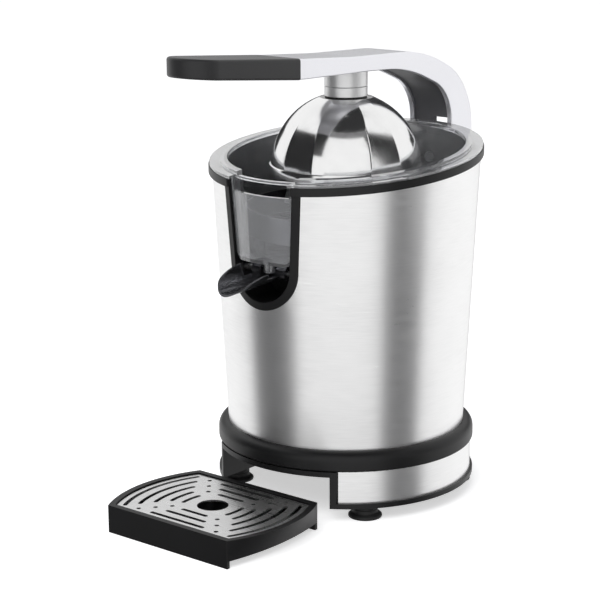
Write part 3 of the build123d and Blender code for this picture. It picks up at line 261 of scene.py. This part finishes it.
# Stainless sheet brushed round the body: streaks along the brushing, drawn coarser to show
BRUSHED_ROUND = Finish(
    "stainless_brushed_round", "#fcfcfc", "#e2e2e2", 0.33, 0.06, (14.0, 14.0, 0.7), 0.006,
    metallic=1.0, cloud=60.0, extras=(("Anisotropic", 0.3), ("Anisotropic Rotation", 0.25)),
)
# Stainless tube of the boss, turned and satin-finished
SATIN_RING = Finish(
    "stainless_satin_ring", "#ececec", "#dddddd", 0.42, 0.04, (9.0, 9.0, 0.5), 0.001,
    metallic=0.85,
)
# Stainless sheet of the grid, brushed straight across it: fine streaks, drawn coarser to show
BRUSHED_FLAT = Finish(
    "stainless_brushed_flat", "#ebebeb", "#d6d6d6", 0.3, 0.06, (30.0, 0.9, 30.0), 0.002,
    metallic=1.0, turn=(0.0, 0.0, 1.6),
)
# Stainless sheet, pressed and polished: near mirror with faint waviness from the tool
POLISHED = Finish(
    "stainless_polished", "#f2f2f2", "#e6e6e6", 0.13, 0.03, (6.0, 6.0, 6.0), 0.004,
    metallic=1.0, cloud=20.0,
)
# Stainless sheet of the strainer, pressed and left dull; its dark grey is painted shade of the
# bowl's front pocket, where it is seen
SHEET_WITH_PAINTED_SHADE = Finish(
    "stainless_pressed_painted_shade", "#77777a", "#5c5c5f", 0.34, 0.06, (3.0, 3.0, 3.0), 0.004,
    metallic=1.0,
)
# Plain turned or pressed steel of pins, screws and shafts
PLAIN_STEEL = Finish(
    "steel_turned", "#b4b4b5", "#8f8f91", 0.3, 0.08, (4.0, 4.0, 0.6), 0.008, metallic=1.0,
)
# Zinc casting under a pale silver lacquer: even, fine-grained, slightly glossy
SILVER_CAST = Finish(
    "zinc_cast_silver_lacquer", "#f7f7fb", "#ececf1", 0.3, 0.04, (0.6, 0.6, 0.6), 0.006,
    metallic=0.8, extras=(("Coat Weight", 0.35), ("Coat Roughness", 0.15)),
)
# Stack of punched silicon steel sheets: fine dark lines, one a sheet
LAMINATIONS = Finish(
    "silicon_steel_stack", "#5a5a5e", "#37373a", 0.45, 0.08, (6.0, 6.0, 4.0), 0.05,
    metallic=0.9, pattern=Grain.LINES,
)
# Sintered bronze of the bushes: warm and porous
BRONZE = Finish(
    "sintered_bronze", "#a5743c", "#7c5428", 0.42, 0.1, (0.5, 0.5, 0.5), 0.03, metallic=1.0,
)
# Enamelled copper wire: turns laid side by side
COPPER = Finish(
    "enamelled_copper", "#b0622f", "#7a3d1c", 0.3, 0.06, (8.0, 8.0, 6.0), 0.15, metallic=1.0,
    pattern=Grain.LINES,
)


# Meshes

def new_object(name: str, mesh: bpy.types.Mesh) -> bpy.types.Object:
    """Puts a mesh into the scene as an object at the origin.

    Args:
        name: The object's name.
        mesh: Its mesh.

    Returns:
        The new object.
    """
    piece = bpy.data.objects.new(name, mesh)
    bpy.context.scene.collection.objects.link(piece)
    return piece


def settle(piece: bpy.types.Object) -> bpy.types.Object:
    """Turns an object with live modifiers into one with a plain mesh.

    Args:
        piece: The object.

    Returns:
        The same object, without modifiers.
    """
    graph = bpy.context.evaluated_depsgraph_get()
    mesh = bpy.data.meshes.new_from_object(piece.evaluated_get(graph), depsgraph=graph)
    piece.modifiers.clear()
    piece.data = mesh
    return piece


def grid_mesh(
    name: str, rows: list[list[Point]], closed: bool = False, ring: bool = False
) -> bpy.types.Mesh:
    """Makes a smooth mesh from rows of points.

    Args:
        name: The mesh's name.
        rows: Rows with the same number of points, in metres.
        closed: Whether the last row joins the first.
        ring: Whether the last point of a row joins its first.

    Returns:
        The mesh, with smooth faces.
    """
    wide = len(rows[0])
    strips = len(rows) if closed else len(rows) - 1
    columns = wide if ring else wide - 1
    faces = []
    for i in range(strips):
        low, high = i * wide, (i + 1) % len(rows) * wide
        pairs = [(j, (j + 1) % wide) for j in range(columns)]
        faces += [(low + j, low + k, high + k, high + j) for j, k in pairs]
    mesh = bpy.data.meshes.new(name)
    mesh.from_pydata([p for row in rows for p in row], [], faces)
    mesh.shade_smooth()
    return mesh


def turned_mesh(name: str, profile: list[Corner], steps: int) -> bpy.types.Mesh:
    """Turns a closed outline about the Z axis.

    Args:
        name: The mesh's name.
        profile: Radius and height of each corner in millimetres, in turn round the section.
        steps: Number of steps round the axis.

    Returns:
        The mesh, with its faces pointing outwards and sharp edges where the outline bends.
    """
    turns = [2 * math.pi * i / steps for i in range(steps)]
    rows = [
        [(r * MM * math.cos(t), r * MM * math.sin(t), z * MM) for t in turns] for r, z in profile
    ]
    mesh = grid_mesh(name, rows, closed=True, ring=True)
    work = bmesh.new()
    work.from_mesh(mesh)
    bmesh.ops.remove_doubles(work, verts=work.verts, dist=SEAM)
    bmesh.ops.recalc_face_normals(work, faces=work.faces)
    work.to_mesh(mesh)
    work.free()
    mesh.set_sharp_from_angle(angle=math.radians(SHARP))
    return mesh


class Repeat:
    """Geometry Nodes trees for what repeats on the object."""

    PLACES = "repeat_at_places"

    @staticmethod
    def start(
        name: str, inputs: list[tuple[str, str]]
    ) -> tuple[bpy.types.NodeTree, bpy.types.Node]:
        """Begins a tree with its named inputs.

        Args:
            name: The tree's name.
            inputs: Name and socket type of each input after the geometry.

        Returns:
            The tree and its input node.
        """
        tree = bpy.data.node_groups.new(name, "GeometryNodeTree")
        tree.interface.new_socket("Geometry", in_out="INPUT", socket_type="NodeSocketGeometry")
        for title, kind in inputs:
            tree.interface.new_socket(title, in_out="INPUT", socket_type=kind)
        tree.interface.new_socket("Geometry", in_out="OUTPUT", socket_type="NodeSocketGeometry")
        return tree, tree.nodes.new("NodeGroupInput")

    @staticmethod
    def close(
        tree: bpy.types.NodeTree,
        instances: bpy.types.NodeSocket,
        material: bpy.types.NodeSocket,
    ) -> None:
        """Ends a tree: instances made real, doubles merged, material set.

        Args:
            tree: The tree.
            instances: The socket with the instances.
            material: The socket with the material.
        """
        real = add_node(tree, "GeometryNodeRealizeInstances", {}, {"Geometry": instances})
        merged = add_node(tree, "GeometryNodeMergeByDistance", {}, {
            "Geometry": real.outputs[0], "Distance": SEAM,
        })
        dressed = add_node(tree, "GeometryNodeSetMaterial", {}, {
            "Geometry": merged.outputs[0], "Material": material,
        })
        add_node(tree, "NodeGroupOutput", {}, {0: dressed.outputs[0]})

    @classmethod
    def around(cls) -> bpy.types.NodeTree:
        """Makes the tree that repeats a sector round the Z axis.

        Returns:
            The tree, with the inputs Count and Finish.
        """
        tree, source = cls.start("repeat_around", [
            ("Count", "NodeSocketInt"), ("Finish", "NodeSocketMaterial"),
        ])
        points = add_node(tree, "GeometryNodePoints", {}, {"Count": source.outputs["Count"]})
        step = add_node(tree, "ShaderNodeMath", {"operation": "DIVIDE"}, {
            0: 2 * math.pi, 1: source.outputs["Count"],
        })
        turn = add_node(tree, "ShaderNodeMath", {"operation": "MULTIPLY"}, {
            0: add_node(tree, "GeometryNodeInputIndex").outputs[0], 1: step.outputs[0],
        })
        spin = add_node(tree, "ShaderNodeCombineXYZ", {}, {"Z": turn.outputs[0]})
        copies = add_node(tree, "GeometryNodeInstanceOnPoints", {}, {
            "Points": points.outputs[0],
            "Instance": source.outputs["Geometry"],
            "Rotation": spin.outputs[0],
        })
        cls.close(tree, copies.outputs[0], source.outputs["Finish"])
        return tree

    @classmethod
    def at_places(cls) -> bpy.types.NodeTree:
        """Makes the tree that puts a copy of a piece on each vertex.

        Returns:
            The tree, with the inputs Piece and Finish.
        """
        tree, source = cls.start(cls.PLACES, [
            ("Piece", "NodeSocketObject"), ("Finish", "NodeSocketMaterial"),
        ])
        points = add_node(tree, "GeometryNodeMeshToPoints", {}, {
            "Mesh": source.outputs["Geometry"],
        })
        piece = add_node(tree, "GeometryNodeObjectInfo", {}, {"Object": source.outputs["Piece"]})
        copies = add_node(tree, "GeometryNodeInstanceOnPoints", {}, {
            "Points": points.outputs[0], "Instance": piece.outputs["Geometry"],
        })
        cls.close(tree, copies.outputs[0], source.outputs["Finish"])
        return tree

    @staticmethod
    def apply(
        piece: bpy.types.Object, tree: bpy.types.NodeTree, values: dict[str, object]
    ) -> bpy.types.Object:
        """Runs a tree on an object and keeps the result as a plain mesh.

        Args:
            piece: The object that carries the modifier.
            tree: The tree.
            values: Values of the tree's named inputs.

        Returns:
            The object with its new mesh.
        """
        modifier = piece.modifiers.new(tree.name, "NODES")
        modifier.node_group = tree
        for item in tree.interface.items_tree:
            if item.in_out == "INPUT" and item.name in values:
                modifier[item.identifier] = values[item.name]
        return settle(piece)

    @classmethod
    def copies(
        cls, name: str, piece: bpy.types.Object, points: list[Point], finish: Finish
    ) -> bpy.types.Object:
        """Puts copies of a piece at places.

        Args:
            name: Name of the result.
            piece: The piece, which is used up.
            points: Places in metres.
            finish: The finish of the copies.

        Returns:
            One object with all the copies.
        """
        mesh = bpy.data.meshes.new(name)
        mesh.from_pydata(points, [], [])
        tree = bpy.data.node_groups.get(cls.PLACES) or cls.at_places()
        values = {"Piece": piece, "Finish": finish.build()}
        result = cls.apply(new_object(name, mesh), tree, values)
        bpy.data.objects.remove(piece)
        return result


# Sub-assemblies

@dataclass
class SubAssembly:
    """A group of pieces that belong together."""

    flat: float = 0.4  # faces that meet at fewer degrees than this are one
    edge_angle: float = 28.0  # edges that bend by more degrees than this are softened
    edge_steps: int = 2

    def dress(self) -> None:
        """Builds and dresses the pieces of the sub-assembly."""
        raise NotImplementedError

    def keep(self, finish: Finish, *nodes: str) -> None:
        """Dresses CAD nodes whose shape is right.

        Args:
            finish: Their finish.
            nodes: Names of the nodes.
        """
        for name in nodes:
            mesh = frame["nodes"][name].data
            mesh.materials.clear()
            mesh.materials.append(finish.build())
            LOG.info("%s kept in %s", name, finish.name)

    def place(self, piece: bpy.types.Object, finish: Finish, node: str) -> bpy.types.Object:
        """Dresses a piece and lets it stand for a CAD node, on that node's body.

        Args:
            piece: The piece.
            finish: Its finish.
            node: Name of the node.

        Returns:
            The piece.
        """
        piece.data.materials.clear()
        piece.data.materials.append(finish.build())
        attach(piece, frame["nodes"][node]["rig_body"])
        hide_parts(node)
        LOG.info("%s stands for %s in %s", piece.name, node, finish.name)
        return piece

    def skin(self, node: str, finish: Finish, edge: float = 0.0) -> bpy.types.Object:
        """Replaces a node by a merged copy with smooth faces and softened edges.

        Args:
            node: Name of the node.
            finish: Its finish.
            edge: Width of the softened edges in millimetres, zero for none.

        Returns:
            The piece.
        """
        work = bmesh.new()
        work.from_mesh(frame["nodes"][node].data)
        bmesh.ops.remove_doubles(work, verts=work.verts, dist=SEAM)
        bmesh.ops.dissolve_limit(
            work, angle_limit=math.radians(self.flat), verts=work.verts, edges=work.edges,
            use_dissolve_boundaries=False,
        )
        mesh = bpy.data.meshes.new(f"{node}_skin")
        work.to_mesh(mesh)
        work.free()
        if "custom_normal" in mesh.attributes:
            mesh.attributes.remove(mesh.attributes["custom_normal"])
        mesh.shade_smooth()
        mesh.set_sharp_from_angle(angle=math.radians(self.edge_angle))
        piece = new_object(f"{node}_skin", mesh)
        if edge:
            bevel = piece.modifiers.new("edges", "BEVEL")
            bevel.width = edge * MM
            bevel.segments = self.edge_steps
            bevel.limit_method = "ANGLE"
            bevel.angle_limit = math.radians(self.edge_angle)
            bevel.use_clamp_overlap = True
            bevel.harden_normals = True
            settle(piece)
        return self.place(piece, finish, node)


@dataclass
class Screws:
    """Pan-head screws with a cross recess; sizes in millimetres."""

    head: tuple[Corner, ...] = ((0.0, 0.0), (2.1, 0.05), (3.08, 0.4), (3.5, 1.32), (3.5, 2.2))
    shank: float = 1.9
    tip: float = 0.76
    cross: float = 1.8
    cross_width: float = 0.7
    cross_depth: float = 1.2
    steps: int = 32

    def cutter(self) -> bpy.types.Object:
        """Makes the cross that is cut into a head.

        Returns:
            The cross, its middle at the origin.
        """
        work = bmesh.new()
        span = 2 * self.cross
        for wide, deep in ((span, self.cross_width), (self.cross_width, span)):
            size = (wide * MM, deep * MM, 2 * self.cross_depth * MM, 1.0)
            bmesh.ops.create_cube(work, size=1.0, matrix=Matrix.Diagonal(size))
        mesh = bpy.data.meshes.new("cross")
        work.to_mesh(mesh)
        work.free()
        return new_object("cross", mesh)

    def make(self, name: str, points: list[Point], length: float) -> bpy.types.Object:
        """Makes a set of screws that point up from their heads.

        Args:
            name: Name of the set.
            points: Places of the heads' outer faces, in metres.
            length: Whole length of a screw.

        Returns:
            One object with all the screws.
        """
        under = self.head[-1][1]
        profile = list(self.head) + [
            (self.shank, under), (self.shank, length - self.shank), (self.tip, length),
            (0.0, length),
        ]
        screw = new_object(f"{name}_one", turned_mesh(name, profile, self.steps))
        cutter = self.cutter()
        cut = screw.modifiers.new("cross", "BOOLEAN")
        cut.operation = "DIFFERENCE"
        cut.solver = "EXACT"
        cut.use_self = True
        cut.object = cutter
        settle(screw)
        bpy.data.objects.remove(cutter)
        return Repeat.copies(name, screw, points, PLAIN_STEEL)


@dataclass
class Base(SubAssembly):
    """Base with its band, shoulder, feet and screws; sizes in millimetres."""

    shell_edge: float = 0.5
    gland_edge: float = 0.4
    foot_places: tuple[float, float] = (56.0, 48.0)
    foot_profile: tuple[Corner, ...] = (
        (0.0, 0.0), (10.2, 0.0), (10.8, 0.2), (11.0, 0.8), (10.9, 1.6), (10.2, 2.3), (9.0, 3.0),
        (8.5, 3.4), (8.2, 4.0), (8.2, 5.6), (7.9, 5.8), (7.9, 6.4), (8.2, 6.6), (8.2, 8.9),
        (0.0, 8.9),
    )
    foot_steps: int = 64
    screw_places: tuple[float, float] = (74.5, 14.0)
    screws: Screws = field(default_factory=Screws)

    def corners(self, across: float, along: float, height: float) -> list[Point]:
        """Four places round the body's axis.

        Args:
            across: Distance from the axis to the sides, in millimetres.
            along: Distance from the axis to the front and back, in millimetres.
            height: Their height in metres.

        Returns:
            The places in metres.
        """
        signs = [(i, j) for i in (-1, 1) for j in (-1, 1)]
        return [(i * across * MM, (AXIS_Y + j * along) * MM, height) for i, j in signs]

    def dress(self) -> None:
        """Builds and dresses the pieces of the base."""
        self.skin("base_shell", BLACK_ABS, self.shell_edge)
        self.skin("base_band", BRUSHED_ROUND)
        self.skin("base_flange", BLACK_ABS)
        self.keep(BLACK_ABS, "floor_plate")
        self.skin("cord_gland", NITRILE, self.gland_edge)
        foot = new_object("foot", turned_mesh("foot", list(self.foot_profile), self.foot_steps))
        stands = self.corners(*self.foot_places, 0.0)
        feet = Repeat.copies("rubber_feet_turned", foot, stands, NITRILE)
        self.place(feet, NITRILE, "rubber_feet")
        low, high = (corner.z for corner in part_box("base_screws"))
        heads = self.corners(*self.screw_places, low)
        fixings = self.screws.make("base_screws_turned", heads, (high - low) / MM)
        self.place(fixings, PLAIN_STEEL, "base_screws")


@dataclass
class Body(SubAssembly):
    """Tapered sleeve with its notch, rim and inner body; sizes in millimetres."""

    rim_edge: float = 0.5

    def dress(self) -> None:
        """Dresses the pieces of the body."""
        self.skin("body_sleeve", BRUSHED_ROUND)
        self.skin("rim_trim", BLACK_ABS, self.rim_edge)
        self.skin("body_core", BLACK_ABS)


@dataclass
class Bowl(SubAssembly):
    """Clear bowl, strainer and spout; sizes in millimetres."""

    bowl_edge: float = 0.35
    spout_edge: float = 0.35

    def dress(self) -> None:
        """Dresses the bowl, the strainer and the spout."""
        self.skin("juice_bowl", CLEAR_SAN, self.bowl_edge)
        # The strainer's dark grey is painted shade of the bowl's front pocket
        self.skin("strainer", SHEET_WITH_PAINTED_SHADE)
        self.skin("pouring_spout", DARK_CHROME, self.spout_edge)
        self.keep(PLAIN_STEEL, "spout_pins")


@dataclass
class Drive(SubAssembly):
    """Motor, gears, switch and the reamer on its spindle; sizes in millimetres."""

    press_travel: float = 3.0
    reamer_edge: float = 0.4

    def spring(self) -> None:
        """Dresses the return spring and gives it a mesh of its own."""
        piece = self.skin("press_spring", PLAIN_STEEL)
        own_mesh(piece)

    def dress(self) -> None:
        """Dresses the drive."""
        self.spring()
        self.keep(
            PLAIN_STEEL, "plate_posts", "plate_screws", "gear_plate", "idler_axle", "spindle",
            "switch_bracket", "motor_top_cap", "motor_bottom_cap",
        )
        self.keep(BLACK_ABS, "gear_cover", "micro_switch")
        self.keep(BRONZE, "spindle_bushes", "motor_bushes", "motor_pinion")
        self.keep(ACETAL, "idler_gear", "output_gear", "thrust_cup")
        self.keep(NITRILE, "spindle_seal")
        self.keep(LAMINATIONS, "motor_stator", "motor_rotor")
        self.keep(COPPER, "motor_windings")
        self.skin("reamer_cone", PLAIN_STEEL, self.reamer_edge)


@dataclass
class Arm(SubAssembly):
    """Lever arm with its hinge, liner, grip and boss; sizes in millimetres."""

    shell_edge: float = 0.8
    liner_edge: float = 0.4
    boss_edge: float = 0.3
    bracket_edge: float = 0.6
    pin_edge: float = 0.4

    def dress(self) -> None:
        """Dresses the arm and its hinge."""
        self.skin("arm_shell", SILVER_CAST, self.shell_edge)
        self.skin("arm_liner", GREY_ABS, self.liner_edge)
        self.skin("grip", SOFT_TOUCH)
        self.skin("boss_collar", SATIN_RING, self.boss_edge)
        self.skin("hinge_bracket", SILVER_CAST, self.bracket_edge)
        self.keep(BRONZE, "hinge_washers")
        self.skin("hinge_pin", PLAIN_STEEL, self.pin_edge)
        self.keep(PLAIN_STEEL, "bracket_screws")


@dataclass
class Hood(SubAssembly):
    """Polished hood with wide and narrow panels; sizes in millimetres and degrees.

    The dome's profile is an ellipse with its greatest radius at the widest height and its half
    height in rise. A crown of one makes a panel round, a crown of zero makes it flat.
    """

    radius: float = 49.8
    rise: float = 51.4
    widest: float = 213.2
    low: float = 209.2
    rim_height: float = 8.6
    rim_proud: float = 0.7
    rim_top_edge: tuple[float, float] = (0.2, 0.25)
    rim_low_edge: float = 0.3
    neck: float = 261.2
    neck_edge: float = 0.8
    sheet: float = 1.6
    bore: float = 4.0
    nut: float = 7.0
    collar_edge: float = 0.3
    panels: int = 5
    narrow: float = 26.0
    turn: float = -103.0
    crown: float = 0.9
    narrow_crown: float = 0.1
    crease: float = 0.9
    wide_steps: int = 20
    narrow_steps: int = 12
    rows: int = 40
    inner_rows: int = 17

    def dress(self) -> None:
        """Builds the dome and dresses the rest of the hood."""
        dome = new_object("hood_dome_panels", self.sector())
        Repeat.apply(dome, Repeat.around(), {"Count": self.panels, "Finish": POLISHED.build()})
        dome.data.transform(Matrix.Translation((0.0, AXIS_Y * MM, 0.0)))
        dome.data.set_sharp_from_angle(angle=math.radians(SHARP))
        self.place(dome, POLISHED, "hood_dome")
        self.skin("hood_collar", SATIN_RING, self.collar_edge)
        self.keep(NITRILE, "hood_gasket")
        self.keep(PLAIN_STEEL, "hood_pin", "hood_nut")

    def crease_radius(self, height: float) -> float:
        """Radius of the dome at its creases, at a height."""
        return self.radius * math.sqrt(1 - ((height - self.widest) / self.rise)**2)

    def flatness(self, offset: float, half: float, crown: float) -> float:
        """Radius of a panel as a share of the radius at its creases.

        Args:
            offset: Angle from the panel's middle, in radians.
            half: Half of the panel's angle, in radians.
            crown: One for a round panel, zero for a flat one.

        Returns:
            The share, one at the creases and less at the middle.
        """
        sagitta = crown * (1 - math.cos(half))
        bend = (math.sin(half)**2 + sagitta**2) / (2 * sagitta)
        centre = math.cos(half) + sagitta - bend
        return centre * math.cos(offset) + math.sqrt(bend**2 - (centre * math.sin(offset))**2)

    def sector(self) -> bpy.types.Mesh:
        """Makes one narrow and one wide panel, with the wall behind them.

        Returns:
            The mesh of the sector.
        """
        columns = []
        start = self.turn
        for span, crown, steps in (
            (self.narrow, self.narrow_crown, self.narrow_steps),
            (360 / self.panels - self.narrow, self.crown, self.wide_steps),
        ):
            inner = span - 2 * self.crease
            turns = [0.0] + [self.crease + inner * i / steps for i in range(steps + 1)]
            half = math.radians(span / 2)
            for t in turns:
                flat = self.flatness(math.radians(t) - half, half, crown)
                columns.append((math.radians(start + t), flat))
            start += span
        columns.append((math.radians(start), 1.0))
        rows = []
        for radius, height, share in self.section():
            spokes = [(turn, radius * MM * (1 + share * (flat - 1))) for turn, flat in columns]
            rows.append([(r * math.cos(t), r * math.sin(t), height * MM) for t, r in spokes])
        mesh = grid_mesh("hood_sector", rows, closed=True)
        mesh.flip_normals()  # the rows run down the outside, which leaves the faces inwards
        return mesh

    def section(self) -> list[Point]:
        """Section of the dome's wall.

        Returns:
            Radius, height and share of the panels' flatness of each point, down the outside and
            up the inside.
        """
        foot = self.low + self.rim_height
        turns = [math.pi / 2 * i / (self.rows - 1) for i in range(self.rows)]
        heights = [foot + (self.neck - foot) * math.cos(t) for t in turns]
        shoulder = self.crease_radius(self.neck) - self.neck_edge
        outside = [(self.bore, self.neck, 0.0), (shoulder, self.neck, 1.0)]
        outside += [(self.crease_radius(z), z, 1.0) for z in heights]
        rim = self.crease_radius(foot) + self.rim_proud
        inset, drop = self.rim_top_edge
        outside += [
            (rim - inset, foot, 0.0), (rim, foot - drop, 0.0),
            (rim, self.low + self.rim_low_edge, 0.0), (rim - self.rim_low_edge, self.low, 0.0),
        ]
        half = math.radians(self.narrow / 2)
        flattest = self.flatness(0.0, half, self.narrow_crown)
        hollow = self.crease_radius(foot) * flattest - self.sheet
        top = self.neck - self.sheet
        inside = [(hollow, self.low, 0.0)]
        for i in range(self.inner_rows):
            t = math.pi / 2 * i / (self.inner_rows - 1)
            radius = self.nut + (hollow - self.nut) * math.cos(t)
            inside.append((radius, foot + (top - foot) * math.sin(t), 0.0))
        return outside + inside + [(self.bore, top, 0.0)]


@dataclass
class Tray(SubAssembly):
    """Drip tray and its grid; sizes in millimetres."""

    tray_edge: float = 0.6

    def dress(self) -> None:
        """Dresses the tray and the grid."""
        self.skin("drip_tray", BLACK_ABS, self.tray_edge)
        self.skin("tray_grid", BRUSHED_FLAT)


# Studio

@dataclass(frozen=True)
class Card:
    """A card that shows only in reflections: part of a sphere round the body.

    Start and end are angles round the body from the camera's side, low and high are heights above
    the horizon, all in degrees. The tone is what metal sees there.
    """

    start: float
    end: float
    low: float
    high: float
    tone: str


@dataclass(frozen=True)
class Lamp:
    """A square soft box: its place and size in metres and its power in watts."""

    name: str
    place: Point
    size: float
    power: float


@dataclass
class Studio:
    """Floor, cards, lamps, world and camera; lengths in metres.

    The camera stands at the eye, and right, up and back are its axes. Lens and sensor are in
    millimetres.
    """

    eye: Point = (0.769673, -0.900672, 0.423970)
    right: Point = (0.7551235, 0.6555628, -0.0050815)
    up: Point = (-0.1536836, 0.1845481, 0.9707334)
    back: Point = (0.6373145, -0.7322427, 0.2401059)
    lens: float = 111.94
    sensor: float = 36.0
    sight: float = 50.0
    floor_half: float = 8.0
    floor_tone: str = "#f4f4f4"
    floor_glow: float = 0.55
    card_reach: float = 1.6
    card_middle: float = 0.2
    card_steps: int = 16
    cards: tuple[Card, ...] = (
        Card(-94.0, -47.0, -70.0, -10.0, "#626263"),
        Card(-112.0, -50.0, -10.0, 40.0, "#262627"),
        Card(-50.0, -36.0, 24.0, 52.0, "#262627"),
        Card(33.0, 71.0, -70.0, -10.0, "#5c5c5d"),
        Card(36.0, 52.0, -10.0, 52.0, "#333334"),
        Card(64.0, 79.0, -4.0, 58.0, "#262627"),
        Card(-180.0, 180.0, 60.0, 89.0, "#2e2e2f"),
        Card(-60.0, 60.0, 52.0, 60.0, "#7c7c7d"),
        Card(-47.0, 33.0, -80.0, -34.0, "#767677"),
        Card(71.0, 138.0, -80.0, -34.0, "#8c8c8d"),
        Card(-140.0, -94.0, -80.0, -34.0, "#8c8c8d"),
        Card(160.0, 182.0, -60.0, -4.0, "#7a7a7b"),
        Card(135.0, 215.0, -4.0, 10.5, "#262627"),
    )
    lamps: tuple[Lamp, ...] = (
        Lamp("soft_box_front", (0.5, -1.2, 1.5), 1.2, 16.0),
        Lamp("soft_box_left", (-1.3, -0.3, 1.2), 1.0, 10.0),
    )
    lamp_aim: Point = (0.0, 0.0, 0.15)
    surround_tone: str = "#f2f3f6"
    surround_light: float = 0.55

    def build(self) -> None:
        """Builds the whole studio."""
        self.set_camera()
        self.lay_floor()
        for card in self.cards:
            self.hang_card(card)
        for lamp in self.lamps:
            self.hang_lamp(lamp)
        self.make_world()

    def set_camera(self) -> None:
        """Sets the camera at the photograph's viewing angle."""
        data = bpy.data.cameras.new("photo_camera")
        data.lens = self.lens
        data.sensor_width = self.sensor
        data.clip_end = self.sight
        view = bpy.data.objects.new("photo_camera", data)
        turn = Matrix((self.right, self.up, self.back)).transposed().to_4x4()
        view.matrix_world = Matrix.Translation(self.eye) @ turn
        bpy.context.scene.collection.objects.link(view)
        bpy.context.scene.camera = view

    def lay_floor(self) -> None:
        """Lays a pale floor that looks white to the camera and keeps the shadow."""
        ends = (-self.floor_half, self.floor_half)
        floor = new_object(
            "studio_floor", grid_mesh("studio_floor", [[(x, y, 0.0) for x in ends] for y in ends])
        )
        material = bpy.data.materials.new("white_paper_sweep")
        material.use_nodes = True
        tree = material.node_tree
        shader = tree.nodes["Principled BSDF"]
        shader.inputs["Base Color"].default_value = linear(self.floor_tone)
        shader.inputs["Roughness"].default_value = 0.9
        shader.inputs["Emission Color"].default_value = linear("#ffffff")
        path = add_node(tree, "ShaderNodeLightPath")
        glow = add_node(tree, "ShaderNodeMath", {"operation": "MULTIPLY"}, {
            0: path.outputs["Is Camera Ray"], 1: self.floor_glow,
        })
        tree.links.new(glow.outputs[0], shader.inputs["Emission Strength"])
        floor.data.materials.append(material)
        floor.visible_glossy = False

    def card_rows(self, card: Card) -> list[list[Point]]:
        """Points of a card on its sphere.

        Args:
            card: The card's place and tone.

        Returns:
            Rows of points, from its lower to its upper edge.
        """
        axis = AXIS_Y * MM
        facing = math.degrees(math.atan2(self.eye[1] - axis, self.eye[0]))
        shares = [i / self.card_steps for i in range(self.card_steps + 1)]
        turns = [math.radians(facing + card.start + (card.end - card.start) * s) for s in shares]
        rows = []
        for share in shares:
            rise = math.radians(card.low + (card.high - card.low) * share)
            away = self.card_reach * math.cos(rise)
            height = self.card_middle + self.card_reach * math.sin(rise)
            rows.append([(away * math.cos(t), axis + away * math.sin(t), height) for t in turns])
        return rows

    def hang_card(self, card: Card) -> None:
        """Hangs a card that only reflections show.

        Args:
            card: The card's place and tone.
        """
        piece = new_object("studio_card", grid_mesh("studio_card", self.card_rows(card)))
        material = bpy.data.materials.new("matt_card")
        material.use_nodes = True
        shader = material.node_tree.nodes["Principled BSDF"]
        shader.inputs["Base Color"].default_value = linear("#000000")
        shader.inputs["Roughness"].default_value = 1.0
        shader.inputs["Emission Color"].default_value = linear(card.tone)
        shader.inputs["Emission Strength"].default_value = 1.0
        piece.data.materials.append(material)
        piece.visible_camera = False
        piece.visible_diffuse = False
        piece.visible_shadow = False
        piece.visible_transmission = False

    def hang_lamp(self, lamp: Lamp) -> None:
        """Hangs a soft box that points at the object and shows in no reflection.

        Args:
            lamp: Its name, place, size and power.
        """
        data = bpy.data.lights.new(lamp.name, "AREA")
        data.size = lamp.size
        data.energy = lamp.power
        box = bpy.data.objects.new(lamp.name, data)
        box.location = lamp.place
        aim = Vector(self.lamp_aim) - Vector(lamp.place)
        box.rotation_euler = aim.to_track_quat("-Z", "Y").to_euler()
        box.visible_glossy = False
        bpy.context.scene.collection.objects.link(box)

    def make_world(self) -> None:
        """Makes a white surround: even light, and white to the camera, to metal and to glass."""
        world = bpy.data.worlds.new("studio_surround")
        bpy.context.scene.world = world
        world.use_nodes = True
        tree = world.node_tree
        tree.nodes.clear()
        path = add_node(tree, "ShaderNodeLightPath")
        seen = path.outputs["Is Camera Ray"]
        for ray in ("Is Glossy Ray", "Is Transmission Ray"):
            seen = add_node(tree, "ShaderNodeMath", {"operation": "MAXIMUM"}, {
                0: seen, 1: path.outputs[ray],
            }).outputs[0]
        light = add_node(tree, "ShaderNodeBackground", {}, {
            "Color": linear(self.surround_tone), "Strength": self.surround_light,
        })
        white = add_node(tree, "ShaderNodeBackground", {}, {
            "Color": linear("#ffffff"), "Strength": 1.0,
        })
        both = add_node(tree, "ShaderNodeMixShader", {}, {
            0: seen, 1: light.outputs[0], 2: white.outputs[0],
        })
        add_node(tree, "ShaderNodeOutputWorld", {}, {"Surface": both.outputs[0]})


def main() -> None:
    """Builds the sub-assemblies in order."""
    logging.basicConfig(level=logging.INFO, format="%(name)s: %(message)s")
    bpy.context.scene.view_settings.view_transform = "Standard"
    Studio().build()
    for assembly in (Base(), Body(), Bowl(), Drive(), Arm(), Hood(), Tray()):
        assembly.dress()


if __name__ == "__main__":
    main()
